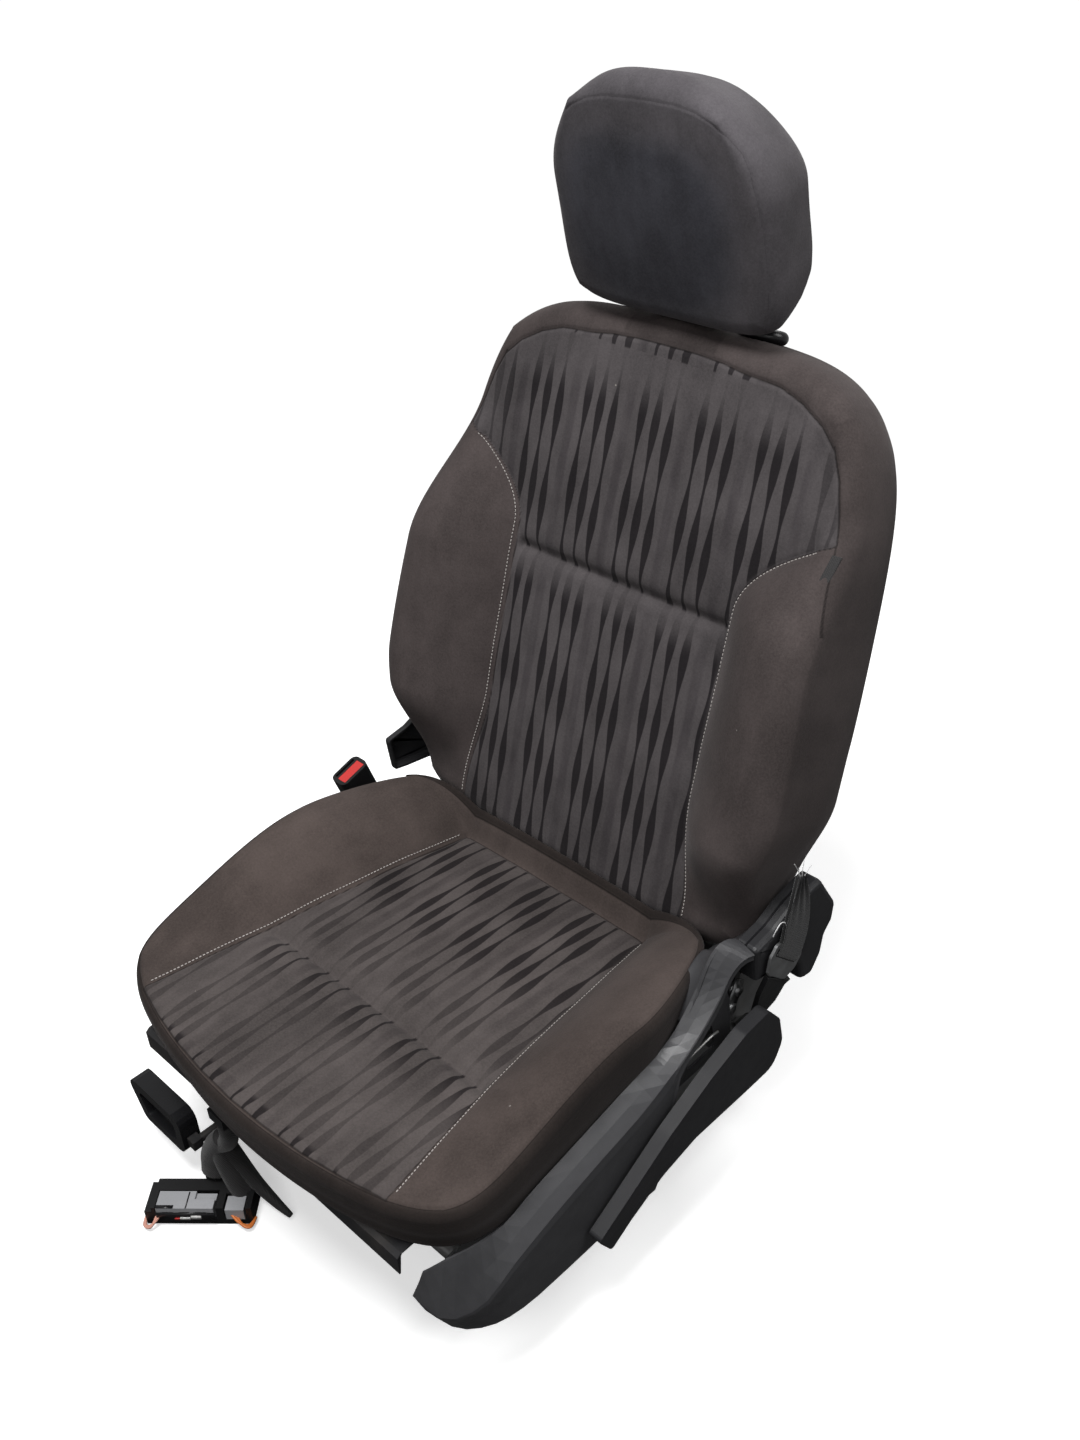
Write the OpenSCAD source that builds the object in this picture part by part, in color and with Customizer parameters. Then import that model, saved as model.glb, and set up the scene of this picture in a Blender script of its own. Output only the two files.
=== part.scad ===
// Front seat of a passenger car, left-hand side, with slide, height and recline adjustment.
// Millimetres. X runs to the door side, the occupant faces -Y, Z is up.
// The origin is the centre of the four floor bolts, on the floor.

/* [Floor rails] */
// Distance between the centre lines of the two rails
rail_spacing = 380; // [340:5:400]
// Length of each lower rail
lower_rail_len = 372; // [340:2:400]
// Length of each upper rail
upper_rail_len = 330; // [300:2:350]
// Outer width of the lower rail
rail_w = 44; // [40:1:48]
// Outer height of the lower rail
rail_h = 30; // [28:1:34]
// Sheet thickness of the rails
rail_wall = 2.5; // [2:0.25:3]
// Distance between the front and the rear floor bolts
bolt_spacing_y = 416; // [400:2:440]
// Diameter of the floor bolt holes
floor_hole_d = 10.5; // [8.5:0.5:12.5]
// Thickness of the feet under the rails
foot_t = 4; // [3:0.5:6]

/* [Height adjuster] */
// Distance between the two pivots of a link
link_len = 95; // [88:1:100]
// Angle of the links above the horizontal with the seat at its lowest
link_angle = 20; // [18:1:24]
// Height of the lower link pivots above the floor
lower_pivot_z = 66; // [64:1:70]
// Place of the front lower pivots along the rails
front_pivot_y = -165; // [-170:1:-150]
// Place of the rear lower pivots along the rails
rear_pivot_y = 75; // [65:1:85]
// Diameter of the pivot bolts
pivot_d = 12; // [10:0.5:14]
// Outer diameter of the lift shafts
lift_shaft_d = 28; // [24:1:30]
// Module of the sector gear and its pinion
gear_module = 3; // [2.8:0.1:3]
// Teeth of the pinion
pinion_teeth = 10; // [9:1:10]
// Teeth that a full wheel of the sector gear would have
sector_teeth = 54; // [50:1:54]

/* [Seat frame] */
// Distance between the outer faces of the side members
frame_w = 454; // [450:1:458]
// Sheet thickness of the side members
side_t = 3; // [2.5:0.5:3.5]
// Diameter of the front cross tube
front_tube_d = 25; // [20:1:28]
// Diameter of the rear cross tube
rear_tube_d = 22; // [18:1:24]
// Height of the recline axis above the floor
recline_z = 235; // [232:1:237]
// Distance of the recline axis behind the origin
recline_y = 200; // [198:1:203]
// Radius of the round recliners
recliner_r = 36; // [32:1:38]
// Diameter of the rod that links the recliners
recline_rod_d = 10; // [8:0.5:12]

/* [Cushion] */
// Largest width of the cushion
cushion_w = 528; // [510:2:532]
// Place of the front edge of the cushion
cushion_front_y = -352; // [-360:1:-345]
// Height of the underside of the cushion
cushion_bottom_z = 185; // [185:1:188]
// Height of the sewn panel at its rear seam
panel_rear_z = 230; // [226:1:236]
// How much the side bolsters rise above the sewn panel
cushion_bolster_h = 56; // [40:1:60]

/* [Backrest] */
// Recline angle of the backrest from the vertical, at rest
recline_angle = 22; // [20:0.5:24]
// Height of the backrest pad along its slope
pad_h = 612; // [600:2:620]
// Largest width of the backrest pad
pad_w = 554; // [540:2:556]
// Depth from the reference face to the back of the pad
pad_back = 97; // [94:1:102]
// How much the side bolsters stand out of the backrest panel
backrest_bolster_h = 62; // [40:1:64]
// Outer diameter of the tube of the backrest hoop
hoop_tube_d = 22; // [20:1:24]

/* [Head restraint] */
// Distance between the two posts
post_spacing = 156; // [146:1:166]
// Diameter of the posts
post_d = 12; // [10:0.5:14]
// Width of the head restraint
head_w = 266; // [240:2:270]
// Height of the head restraint
head_h = 230; // [220:2:240]
// Depth of the head restraint
head_d = 106; // [96:2:110]

/* [Trim] */
// Thickness of the moulded covers
trim_t = 2.6; // [2:0.1:3]
// Width of the webbing of the seat belt
belt_w = 47; // [44:1:50]
// Diameter of the wiring loom
loom_d = 20; // [14:1:22]

/* [Hidden] */
$fn = 48;
eps = 0.01;

// Clearances
running = 0.1;
seat_gap = 0.3;
free_gap = 2;

// Colours
STEEL = [0.52, 0.53, 0.54];
BLACK_STEEL = [0.12, 0.12, 0.13];
BLACK_PLASTIC = [0.07, 0.07, 0.08];
GREY_PLASTIC = [0.24, 0.24, 0.26];
CLOTH = [0.17, 0.155, 0.145];
RED = [0.75, 0.08, 0.06];

// ---- helpers ----

// Both sides of the seat: the children and their mirror image
module both_sides() { children(); mirror([1, 0, 0]) children(); }

// A round bar along X from x0 to x1
module bar_x(x0, x1, y, z, r) translate([x0, y, z]) rotate([0, 90, 0]) cylinder(h = x1 - x0, r = r);

// An outline of [y, z] points, given a thickness along X from x0
module plate_x(x0, t, outline) translate([x0, 0, 0]) rotate([90, 0, 90]) linear_extrude(t) polygon(outline);

// An outline of [x, z] points, given a thickness along Y from y0
module plate_y(y0, t, outline) translate([0, y0 + t, 0]) rotate([90, 0, 0]) linear_extrude(t) polygon(outline);

// A straight round bar between two points
module bar(a, b, r, fn = 24) {
    d = b - a;
    translate(a) rotate([0, acos(d.z / norm(d)), atan2(d.y, d.x)]) cylinder(h = norm(d), r = r, $fn = fn);
}

// The corner b of an outline between a and c, rounded to radius r with n steps
function unit(v) = v / norm(v);
function round_corner(a, b, c, r, n) =
    let (u = unit(a - b), w = unit(c - b), half = acos(max(-1, min(1, u * w))) / 2)
    r <= 0 || half > 89 ? [b] :
    let (centre = b + unit(u + w) * r / sin(half), reach = r / tan(half),
         p = b + u * reach - centre, q = b + w * reach - centre,
         from = atan2(p.y, p.x), sweep = (atan2(q.y, q.x) - from + 540) % 360 - 180)
    [for (k = [0:n]) centre + r * [cos(from + sweep * k / n), sin(from + sweep * k / n)]];

// An outline whose points are [across, up, corner radius]
function rounded(p, n = 4) = let (m = len(p))
    [for (i = [0:m - 1])
        let (a = p[(i + m - 1) % m], b = p[i], c = p[(i + 1) % m])
        each round_corner([a.x, a.y], [b.x, b.y], [c.x, c.y], b.z, n)];

// Smooth step from 0 to 1
function ease(q) = let (t = max(0, min(1, q))) t * t * (3 - 2 * t);

// ---- derived places ----

rail_x = rail_spacing / 2;
bolt_y = bolt_spacing_y / 2;
rail_bottom_z = foot_t;
rail_top_z = rail_bottom_z + rail_h;
upper_base_z = rail_bottom_z + rail_wall + 3.5;
upper_top_z = rail_top_z + 12;
upper_w = rail_w - 2 * rail_wall - 5;
lip_gap = rail_w / 2 - rail_wall - 7;
web_w = 6;

side_x = frame_w / 2 - side_t;
link_t = 5;
link_x = side_x - 6 - link_t;
bracket_t = 4;
bracket_x = link_x - 5 - bracket_t;
lift_y = link_len * cos(link_angle);
lift_z = link_len * sin(link_angle);
upper_pivot_z = lower_pivot_z + lift_z;
front_shaft_y = front_pivot_y + lift_y;
rear_shaft_y = rear_pivot_y + lift_y;
pivot_r = pivot_d / 2;
shaft_r = lift_shaft_d / 2;
journal_r = 10;
bush_wall = 3;

// The pinion sits above and in front of the rear lift shaft, in mesh with the sector
mesh_angle = 137.4;
sector_r = gear_module * sector_teeth / 2;
pinion_r = gear_module * pinion_teeth / 2;
gear_distance = sector_r + pinion_r;
hub_y = rear_shaft_y + gear_distance * cos(mesh_angle);
hub_z = upper_pivot_z + gear_distance * sin(mesh_angle);
addendum = 0.85 * gear_module;
dedendum = 1.1 * gear_module;
pressure_angle = 25;
backlash = 0.4;

// ---- gears ----

function involute(a) = tan(a) * 180 / PI - a;
function tooth_half_angle(teeth, r, at_r) =
    let (base = r * cos(pressure_angle))
    90 / teeth - backlash / 4 / r * 180 / PI + involute(pressure_angle)
        - involute(acos(min(1, base / at_r)));

// One tooth about the angle a, from root to tip and back
function tooth(teeth, a) =
    let (r = gear_module * teeth / 2, tip = r + addendum, root = r - dedendum,
         low = max(root, r * cos(pressure_angle) + 0.02), steps = 4,
         rs = [for (k = [0:steps]) low + (tip - low) * k / steps],
         half = [for (p = rs) tooth_half_angle(teeth, r, p)])
    concat([root * [cos(a - half[0] - 0.5), sin(a - half[0] - 0.5)]],
        [for (k = [0:steps]) rs[k] * [cos(a - half[k]), sin(a - half[k])]],
        [for (k = [steps:-1:0]) rs[k] * [cos(a + half[k]), sin(a + half[k])]],
        [root * [cos(a + half[0] + 0.5), sin(a + half[0] + 0.5)]]);

// ---- padded shells ----
// A pad is a grid of points over the square -1..1, pulled in to a rounded outline,
// then rings of points down its sides and round a recess, closed by one last point.

function pull_in(u, v, n) =
    let (m = max(abs(u), abs(v)), q = pow(pow(abs(u), n) + pow(abs(v), n), 1 / n))
    m < 0.001 ? 1 : 1 + (m / q - 1) * pow(m, 4);
function edge_roll(d, r) = d >= r ? 0 : r - sqrt(r * r - pow(r - max(d, 0), 2));
// The [u, v] places round the square, one per edge point of the grid us x vs
function square_loop(us, vs) = let (n = len(us) - 1, m = len(vs) - 1) concat(
    [for (i = [0:n - 1]) [us[i], -1]], [for (j = [0:m - 1]) [1, vs[j]]],
    [for (i = [n:-1:1]) [us[i], 1]], [for (j = [m:-1:1]) [-1, vs[j]]]);
// The numbers of the grid's own edge points, in the same order
function grid_loop(nu, nv) = let (n = nu - 1, m = nv - 1) concat(
    [for (i = [0:n - 1]) i], [for (j = [0:m - 1]) j * nu + n],
    [for (i = [n:-1:1]) m * nu + i], [for (j = [m:-1:1]) j * nu]);
function mirrored(half) = concat([for (k = [len(half) - 1:-1:0]) -half[k]], [0], half);

module padded_shell(top, nu, nv, rings, last) {
    loop = grid_loop(nu, nv);
    count = len(loop);
    base = nu * nv;
    numbers = concat([loop], [for (k = [0:len(rings) - 1]) [for (i = [0:count - 1]) base + k * count + i]]);
    tip = base + len(rings) * count;
    faces = concat(
        [for (j = [0:nv - 2], i = [0:nu - 2]) let (a = j * nu + i, b = a + 1, c = a + nu + 1)
            each [[a, c, b], [a, a + nu, c]]],
        [for (k = [0:len(rings) - 1], i = [0:count - 1])
            let (n = (i + 1) % count, a = numbers[k], b = numbers[k + 1])
            each [[a[i], a[n], b[n]], [a[i], b[n], b[i]]]],
        [for (i = [0:count - 1]) [numbers[len(rings)][i], numbers[len(rings)][(i + 1) % count], tip]]);
    polyhedron(points = concat(top, [for (r = rings) each r], [last]), faces = faces, convexity = 6);
}

// ---- cushion form ----

cushion_rear_y = 113;
cushion_mid_y = (cushion_front_y + cushion_rear_y) / 2;
cushion_half = (cushion_rear_y - cushion_front_y) / 2;
cushion_us = mirrored([0.2, 0.38, 0.52, 0.62, 0.72, 0.82, 0.91, 0.97, 1]);
cushion_vs = concat([for (k = [0:17]) -1 + k * 0.1035], [0.84, 0.9, 0.95, 1]);
cushion_roll = 15;
panel_rise = 22.5;
panel_seam_y = 93;
front_bow = 52;
rear_band_rise = 37;
function cushion_half_w(y) = cushion_w / 2 - 28 * ease((y + 60) / 167);
function cushion_seam_x(y) = 137 + 0.1174 * (panel_seam_y - y) + 0.055 * max(0, -171 - y);
function cushion_panel_z(y) = panel_rear_z + panel_rise * (1 - exp(-max(0, panel_seam_y - y) / 150))
    + rear_band_rise * ease((y - panel_seam_y) / 20);
function cushion_bolster(y) = cushion_bolster_h * ease((y + 320) / 260);
function cushion_top(x, y) =
    let (seam = cushion_seam_x(y), crest = cushion_half_w(y) - 16, q = (abs(x) - seam) / (crest - seam),
         out = max(0, min(1, q)), low = cushion_panel_z(min(y, panel_seam_y)) + cushion_bolster(y))
    q <= 0 ? cushion_panel_z(y) + 3 * (1 - pow(x / seam, 2))
        : let (p = cushion_panel_z(y)) p + (low - p) * (1 - pow(1 - out, 2));
// The outline at [u, v], drawn in by some distance, behind the swing of the backrest
function cushion_xy(uv, inset = 0) =
    let (f = pull_in(uv.x, uv.y, 8), v = uv.y * f, y0 = cushion_mid_y + (cushion_half - inset) * v,
         x = uv.x * f * (cushion_half_w(y0) - inset))
    [x, y0 + front_bow * pow(x / (cushion_w / 2), 2) * pow((1 - v) / 2, 2)];
function cushion_point(uv) =
    let (p = cushion_xy(uv), m = max(abs(uv.x), abs(uv.y)), rear = uv.y > 0.9 ? 0.4 : 1,
         d = min((1 - abs(uv.x)) * cushion_w / 2, (1 - abs(uv.y)) * cushion_half))
    [p.x, p.y, cushion_top(p.x, p.y) - rear * edge_roll(d, cushion_roll)];
cushion_swing = 92.8;
function behind_swing(p) = [p.x, min(p.y, recline_y - sqrt(pow(cushion_swing, 2)
    - pow(max(0, min(p.z, recline_z + 60) - recline_z), 2))), p.z];

// ---- backrest form, in the backrest's own frame: x, depth behind the face, height along the slope ----

face_y = 119;
face_z = 277;
pad_low = -36;
pad_mid = pad_low + pad_h / 2;
pad_us = mirrored([0.2, 0.38, 0.52, 0.64, 0.74, 0.83, 0.91, 0.97, 1]);
pad_vs = [-1, -0.97, -0.92, -0.85, -0.76, -0.66, -0.55, -0.42, -0.28, -0.12, 0.04, 0.18, 0.3, 0.42,
    0.53, 0.63, 0.73, 0.82, 0.9, 0.96, 1];
pad_roll = 30;
function pad_half_w(s) = pad_w / 2 - 18 * (1 - ease((s - 60) / 90)) - 23 * ease((s - 150) / 350);
function panel_out(s) = 0.1054 * s - 0.000066 * s * s;
function pad_seam_x(s) = 147 + 18 * (1 - ease(s / 130)) + 100 * pow(max(0, (s - 325) / 95), 2);
function pad_bolster(s) = backrest_bolster_h * ease((s - 4) / 104) * (1 - ease((s - 280) / 170));
function pad_out(x, s) =
    let (w = pad_half_w(s), seam = min(pad_seam_x(s), w - 40), q = (abs(x) - seam) / (w - 28 - seam),
         out = max(0, min(1, q)))
    panel_out(s) + pad_bolster(s) * (1 - pow(1 - out, 2));
function pad_xs(uv, inset = 0, narrow = 0) =
    let (f = pull_in(uv.x, uv.y, 4.3), s = pad_mid + (pad_h / 2 - inset) * uv.y * f)
    [uv.x * f * (pad_half_w(s) - inset - narrow * (1 - ease((s - 40) / 180))), s];
function pad_point(uv) =
    let (p = pad_xs(uv), d = min((1 - abs(uv.x)) * pad_w / 2, (1 - abs(uv.y)) * pad_h / 2))
    [p.x, -pad_out(p.x, p.y) + edge_roll(d, pad_roll), p.y];
// The recess behind the foam, where the frame lies
recess_w = 2 * side_x - 4;
recess_low = 24;
recess_top = 541;
foam_t = 28;
function recess_xs(uv) = let (f = pull_in(uv.x, uv.y, 4.3))
    [uv.x * f * recess_w / 2, (recess_low + recess_top) / 2 + (recess_top - recess_low) / 2 * uv.y * f];

module backrest_frame() translate([0, face_y, face_z]) rotate([-recline_angle, 0, 0]) children();
// The recline axis in the backrest's frame
axis_back = (recline_y - face_y) * cos(recline_angle) - (recline_z - face_z) * sin(recline_angle);
axis_up = (recline_y - face_y) * sin(recline_angle) + (recline_z - face_z) * cos(recline_angle);

// ---- head restraint form, in its own frame ----

head_tilt = 11;
head_y = 311;
head_z = 946;
head_us = mirrored([0.25, 0.48, 0.66, 0.8, 0.91, 1]);
head_vs = mirrored([0.22, 0.44, 0.62, 0.78, 0.9, 1]);
head_roll = 21;
function head_half_w(v) = head_w / 2 * (1 - 0.17 * ease((v - 0.1) / 0.9));
// Round at the top, with tighter corners at the bottom
function head_xz(uv, inset = 0) = let (f = pull_in(uv.x, uv.y, uv.y < 0 ? 5.5 : 2.6), v = uv.y * f)
    [uv.x * f * (head_half_w(v) - inset), (head_h / 2 - inset) * v];
function head_point(uv) =
    let (p = head_xz(uv), d = min((1 - abs(uv.x)) * head_w / 2, (1 - abs(uv.y)) * head_h / 2),
         crown = 10 * (1 - pow(p.x / head_w * 2, 2)) * (1 - pow(p.y / head_h * 2, 2)))
    [p.x, -head_d / 2 - crown + 10 + edge_roll(d, head_roll), p.y];
module head_frame() translate([0, head_y, head_z]) rotate([head_tilt, 0, 0]) children();

// ================= floor rails =================

module lower_rail(x) color(BLACK_STEEL) difference() {
    translate([x - rail_w / 2, -lower_rail_len / 2, rail_bottom_z]) cube([rail_w, lower_rail_len, rail_h]);
    // The channel that the upper rail runs in
    translate([x - rail_w / 2 + rail_wall, -lower_rail_len, rail_bottom_z + rail_wall])
        cube([rail_w - 2 * rail_wall, 2 * lower_rail_len, rail_h - 2 * rail_wall]);
    translate([x - lip_gap + rail_wall, -lower_rail_len, rail_bottom_z + rail_wall])
        cube([2 * (lip_gap - rail_wall), 2 * lower_rail_len, rail_h]);
}
// The down-turned lips of a lower rail
module rail_lips(x) for (s = [-1, 1]) translate([x + s * (lip_gap - rail_wall / 2) - rail_wall / 2,
    -lower_rail_len / 2, rail_top_z - rail_wall - 8]) cube([rail_wall, lower_rail_len, 8 + eps]);

module lower_rail_outboard() color(BLACK_STEEL) union() { lower_rail(rail_x); rail_lips(rail_x); }
module lower_rail_inboard() color(BLACK_STEEL) union() { lower_rail(-rail_x); rail_lips(-rail_x); }

// A foot at one end of each rail; its tongue reaches past the rail to the floor bolt
module feet(dir) color(BLACK_STEEL) both_sides() difference() {
    translate([rail_x, 0, 0]) linear_extrude(foot_t)
        polygon(rounded([[-26, dir * (bolt_y - 74), 3], [26, dir * (bolt_y - 74), 3],
            [26, dir * (bolt_y - 18), 10], [18, dir * (bolt_y + 18), 14],
            [-18, dir * (bolt_y + 18), 14], [-26, dir * (bolt_y - 18), 10]]));
    translate([rail_x, dir * bolt_y, -1]) cylinder(h = foot_t + 2, d = floor_hole_d);
}
module front_feet() feet(-1);
module rear_feet() feet(1);

// ================= sliding carriage =================

module upper_rail(x) color(STEEL) {
    y = -upper_rail_len / 2;
    flange = upper_w - 2;
    difference() {
        union() {
            translate([x - flange / 2, y, upper_base_z]) cube([flange, upper_rail_len, 3]);
            for (s = [-1, 1]) translate([x + s * (flange / 2 - 1.5) - 1.5, y, upper_base_z])
                cube([3, upper_rail_len, 10]);
            translate([x - web_w / 2, y, upper_base_z]) cube([web_w, upper_rail_len, upper_top_z - upper_base_z]);
            translate([x - 15, y, upper_top_z - 3]) cube([30, upper_rail_len, 3]);
        }
        // Slots for the teeth of the lock, in the web
        for (k = [-3:3]) translate([x - web_w, k * 16 - 5, rail_top_z + 2]) cube([2 * web_w, 8, 5]);
    }
}
module upper_rail_outboard() upper_rail(rail_x);
module upper_rail_inboard() upper_rail(-rail_x);

// Nylon shoes that grip the turned-up edges of the upper rail
module rail_glides() color([0.85, 0.84, 0.8]) both_sides()
    for (y = [-0.36, 0.36] * upper_rail_len, s = [-1, 1]) {
        inner = lip_gap + seat_gap;
        outer = rail_w / 2 - rail_wall - seat_gap;
        edge = upper_w / 2 - 1;
        translate([rail_x, y - 15, rail_bottom_z + rail_wall + seat_gap]) difference() {
            translate([s > 0 ? inner : -outer, 0, 0]) cube([outer - inner, 30, 17]);
            translate([s > 0 ? edge - 3 - running : -edge - running, -1,
                upper_base_z - rail_bottom_z - rail_wall - seat_gap - running]) cube([3 + 2 * running, 32, 10 + 2 * running]);
            translate([s > 0 ? 0 : -edge, -1, upper_base_z - rail_bottom_z - rail_wall - seat_gap - running])
                cube([edge, 32, 3 + 2 * running]);
        }
    }

// A bracket on each upper rail that holds the lower pivot of a link
module rail_bracket(y, base_y) {
    plate_x(bracket_x, bracket_t, rounded([[min(base_y - 20, y - 10), upper_top_z, 0], [base_y + 20, upper_top_z, 0],
        [y + 15, lower_pivot_z + 4, 8], [y + 6, lower_pivot_z + 17, 10], [y - 6, lower_pivot_z + 17, 10],
        [y - 15, lower_pivot_z + 4, 8]]));
    translate([rail_x - 12, base_y - 20, upper_top_z]) cube([bracket_x + bracket_t - rail_x + 12, 40, 3]);
}
// The pivot axis of the slide release, in front of the rails
release_y = -196;
release_z = 58;
release_rod_r = 5;
module front_rail_brackets() color(BLACK_STEEL) both_sides() difference() {
    union() {
        rail_bracket(front_pivot_y, front_pivot_y + 24);
        // The eye that carries the end of the release rod
        plate_x(rail_x - 12, 4, rounded([[release_y - 11, release_z - 8, 8], [release_y + 4, release_z - 12, 4],
            [front_pivot_y + 4, upper_top_z, 0], [front_pivot_y + 30, upper_top_z, 0],
            [front_pivot_y + 30, upper_top_z + 6, 0], [release_y + 8, release_z + 11, 8], [release_y - 11, release_z + 8, 8]]));
    }
    bar_x(bracket_x - 1, bracket_x + bracket_t + 1, front_pivot_y, lower_pivot_z, pivot_r + running);
    bar_x(rail_x - 13, rail_x - 7, release_y, release_z, release_rod_r + running);
}
module rear_rail_brackets() color(BLACK_STEEL) both_sides() difference() {
    rail_bracket(rear_pivot_y, rear_pivot_y);
    bar_x(bracket_x - 1, bracket_x + bracket_t + 1, rear_pivot_y, lower_pivot_z, pivot_r + running);
}

module lower_pivot_bolts() color(STEEL) both_sides() for (y = [front_pivot_y, rear_pivot_y]) {
    // Nut, shank, shoulder and head
    bar_x(bracket_x - 5, bracket_x, y, lower_pivot_z, 9.5);
    bar_x(bracket_x - 5, link_x + link_t + seat_gap + eps, y, lower_pivot_z, pivot_r);
    bar_x(bracket_x + bracket_t, link_x - seat_gap, y, lower_pivot_z, 9);
    bar_x(link_x + link_t + seat_gap, link_x + link_t + 3.8, y, lower_pivot_z, 10);
}

// ================= slide release =================

loop_left = -252;
loop_right = -150;
loop_low = 38;
loop_high = 94;
loop_y = -338;
loop_depth = 22;
loop_bar = 13;
module release_handle() color(BLACK_PLASTIC) difference() {
    plate_y(loop_y, loop_depth, rounded([[loop_left, loop_high, 12], [loop_left + 22, loop_low, 10],
        [loop_right, loop_low, 14], [loop_right, loop_high, 14]]));
    plate_y(loop_y - 1, loop_depth + 2, rounded([[loop_left + 17, loop_high - loop_bar, 7],
        [loop_left + 22 + 10, loop_low + loop_bar, 6], [loop_right - loop_bar, loop_low + loop_bar, 8],
        [loop_right - loop_bar, loop_high - loop_bar, 8]]));
}
release_arm_x = -143;
module release_rod() color(BLACK_STEEL) {
    end_y = loop_y + loop_depth / 2;
    bar_x(-rail_x + 4, rail_x - 4, release_y, release_z, release_rod_r);
    translate([release_arm_x, end_y, release_z]) rotate([-90, 0, 0]) cylinder(h = release_y - end_y, r = release_rod_r);
    translate([release_arm_x - 6, end_y - 6, release_z - 6]) cube(12);
    bar_x(loop_right, release_arm_x, end_y, release_z, release_rod_r);
    // The arms that lift the teeth out of the rails
    both_sides() {
        plate_x(rail_x - 28, 4, rounded([[release_y - 9, release_z - 7, 6], [release_y + 60, rail_top_z + 13, 3],
            [release_y + 110, rail_top_z + 12, 3], [release_y + 110, rail_top_z + 18, 3],
            [release_y + 50, release_z + 8, 6], [release_y - 9, release_z + 8, 6]]));
    }
}

// ================= height links =================

// The outline of a flat link from its lower to its upper pivot, at the rest angle
module link_outline(y) {
    side = [-lift_z, lift_y] / link_len;
    a = [y, lower_pivot_z];
    b = [y + lift_y, upper_pivot_z];
    polygon([a + side * 12.2, a - side * 12.2, b - side * 19.8, b + side * 19.8]);
    translate(a) circle(r = 13);
    translate(b) circle(r = 21);
}
module link_sheet() translate([link_x, 0, 0]) rotate([90, 0, 90]) linear_extrude(link_t) children();
module link_bores(y) {
    bar_x(link_x - 1, link_x + link_t + 1, y, lower_pivot_z, pivot_r + running);
    bar_x(link_x - 1, link_x + link_t + 1, y + lift_y, upper_pivot_z, journal_r + 0.05);
}
module front_links() color(STEEL) both_sides() difference() {
    link_sheet() link_outline(front_pivot_y);
    link_bores(front_pivot_y);
}
first_tooth = -7;
last_tooth = 1;
module sector_outline() {
    pitch = 360 / sector_teeth;
    centre = [rear_shaft_y, upper_pivot_z];
    polygon([for (p = concat([[0, 0]], [for (k = [first_tooth:last_tooth])
        each tooth(sector_teeth, mesh_angle + k * pitch)])) centre + p]);
}
module rear_links() color(STEEL) {
    difference() {
        link_sheet() {
            link_outline(rear_pivot_y);
            sector_outline();
        }
        link_bores(rear_pivot_y);
        // Lightening hole between the pivot and the teeth
        bar_x(link_x - 1, link_x + link_t + 1, rear_shaft_y - 24, upper_pivot_z + 44, 11);
    }
    mirror([1, 0, 0]) difference() {
        link_sheet() link_outline(rear_pivot_y);
        link_bores(rear_pivot_y);
    }
}
// A tube across the seat with a turned journal at each end
module lift_shaft(y) color(STEEL) difference() {
    union() {
        bar_x(-link_x + seat_gap, link_x - seat_gap, y, upper_pivot_z, shaft_r);
        bar_x(-side_x - side_t - 6, side_x + side_t + 6, y, upper_pivot_z, journal_r);
    }
    bar_x(-side_x - 40, side_x + 40, y, upper_pivot_z, journal_r - 3);
}
module front_lift_shaft() lift_shaft(front_shaft_y);
module rear_lift_shaft() lift_shaft(rear_shaft_y);

// ================= seat frame =================

front_tube_y = -262;
front_tube_z = 140;
rear_tube_y = 190;
rear_tube_z = 168;
belt_bolt_y = 130;
belt_bolt_z = 124;
buckle_y = 74;
buckle_z = 158;
anchor_bolt_r = 5.5;
bush_r = journal_r + bush_wall;
hub_r = 8;
flange_z = cushion_bottom_z - 14.5;
module side_member() {
    top = cushion_bottom_z - 6;
    difference() {
        union() {
            plate_x(side_x, side_t, rounded([[-300, 116, 14], [-222, 92, 30], [-150, 82, 30], [rear_shaft_y, 76, 20],
                [rear_shaft_y + 26, 84, 12], [rear_shaft_y + 34, 150, 20], [recline_y + 30, 214, 8], [recline_y, recline_z, 0],
                [recline_y - 38, 222, 8], [recline_y - 62, 192, 16], [cushion_rear_y - 6, top, 12],
                [-240, top - 8, 24], [-300, 158, 16]]));
            // The inner flange along the top edge, in front of the backrest
            translate([side_x - 9, -236, flange_z - 2.5]) cube([10, 180, 2.5]);
            bar_x(side_x, side_x + side_t, recline_y, recline_z, recliner_r + 4);
        }
        for (y = [front_shaft_y, rear_shaft_y])
            bar_x(side_x - 1, side_x + side_t + 1, y, upper_pivot_z, bush_r + 0.05);
        bar_x(side_x - 1, side_x + side_t + 1, recline_y, recline_z, recline_rod_d / 2 + 1);
        // Lightening holes
        for (y = [-215, -165, 10]) bar_x(side_x - 1, side_x + side_t + 1, y, 128, 16);
    }
}
module side_member_outboard() color(BLACK_STEEL) difference() {
    side_member();
    bar_x(side_x - 12, side_x + side_t + 1, hub_y, hub_z, 7.5);
    bar_x(side_x - 1, side_x + side_t + 1, belt_bolt_y, belt_bolt_z, anchor_bolt_r + running);
}
module side_member_inboard() color(BLACK_STEEL) mirror([1, 0, 0]) difference() {
    side_member();
    bar_x(side_x - 1, side_x + side_t + 1, buckle_y, buckle_z, anchor_bolt_r + running);
}

module cross_tube(d, y, z) color(BLACK_STEEL) difference() {
    bar_x(-side_x, side_x, y, z, d / 2);
    bar_x(-side_x - 1, side_x + 1, y, z, d / 2 - 2);
}
module front_cross_tube() cross_tube(front_tube_d, front_tube_y, front_tube_z);
module rear_cross_tube() cross_tube(rear_tube_d, rear_tube_y, rear_tube_z);

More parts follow.
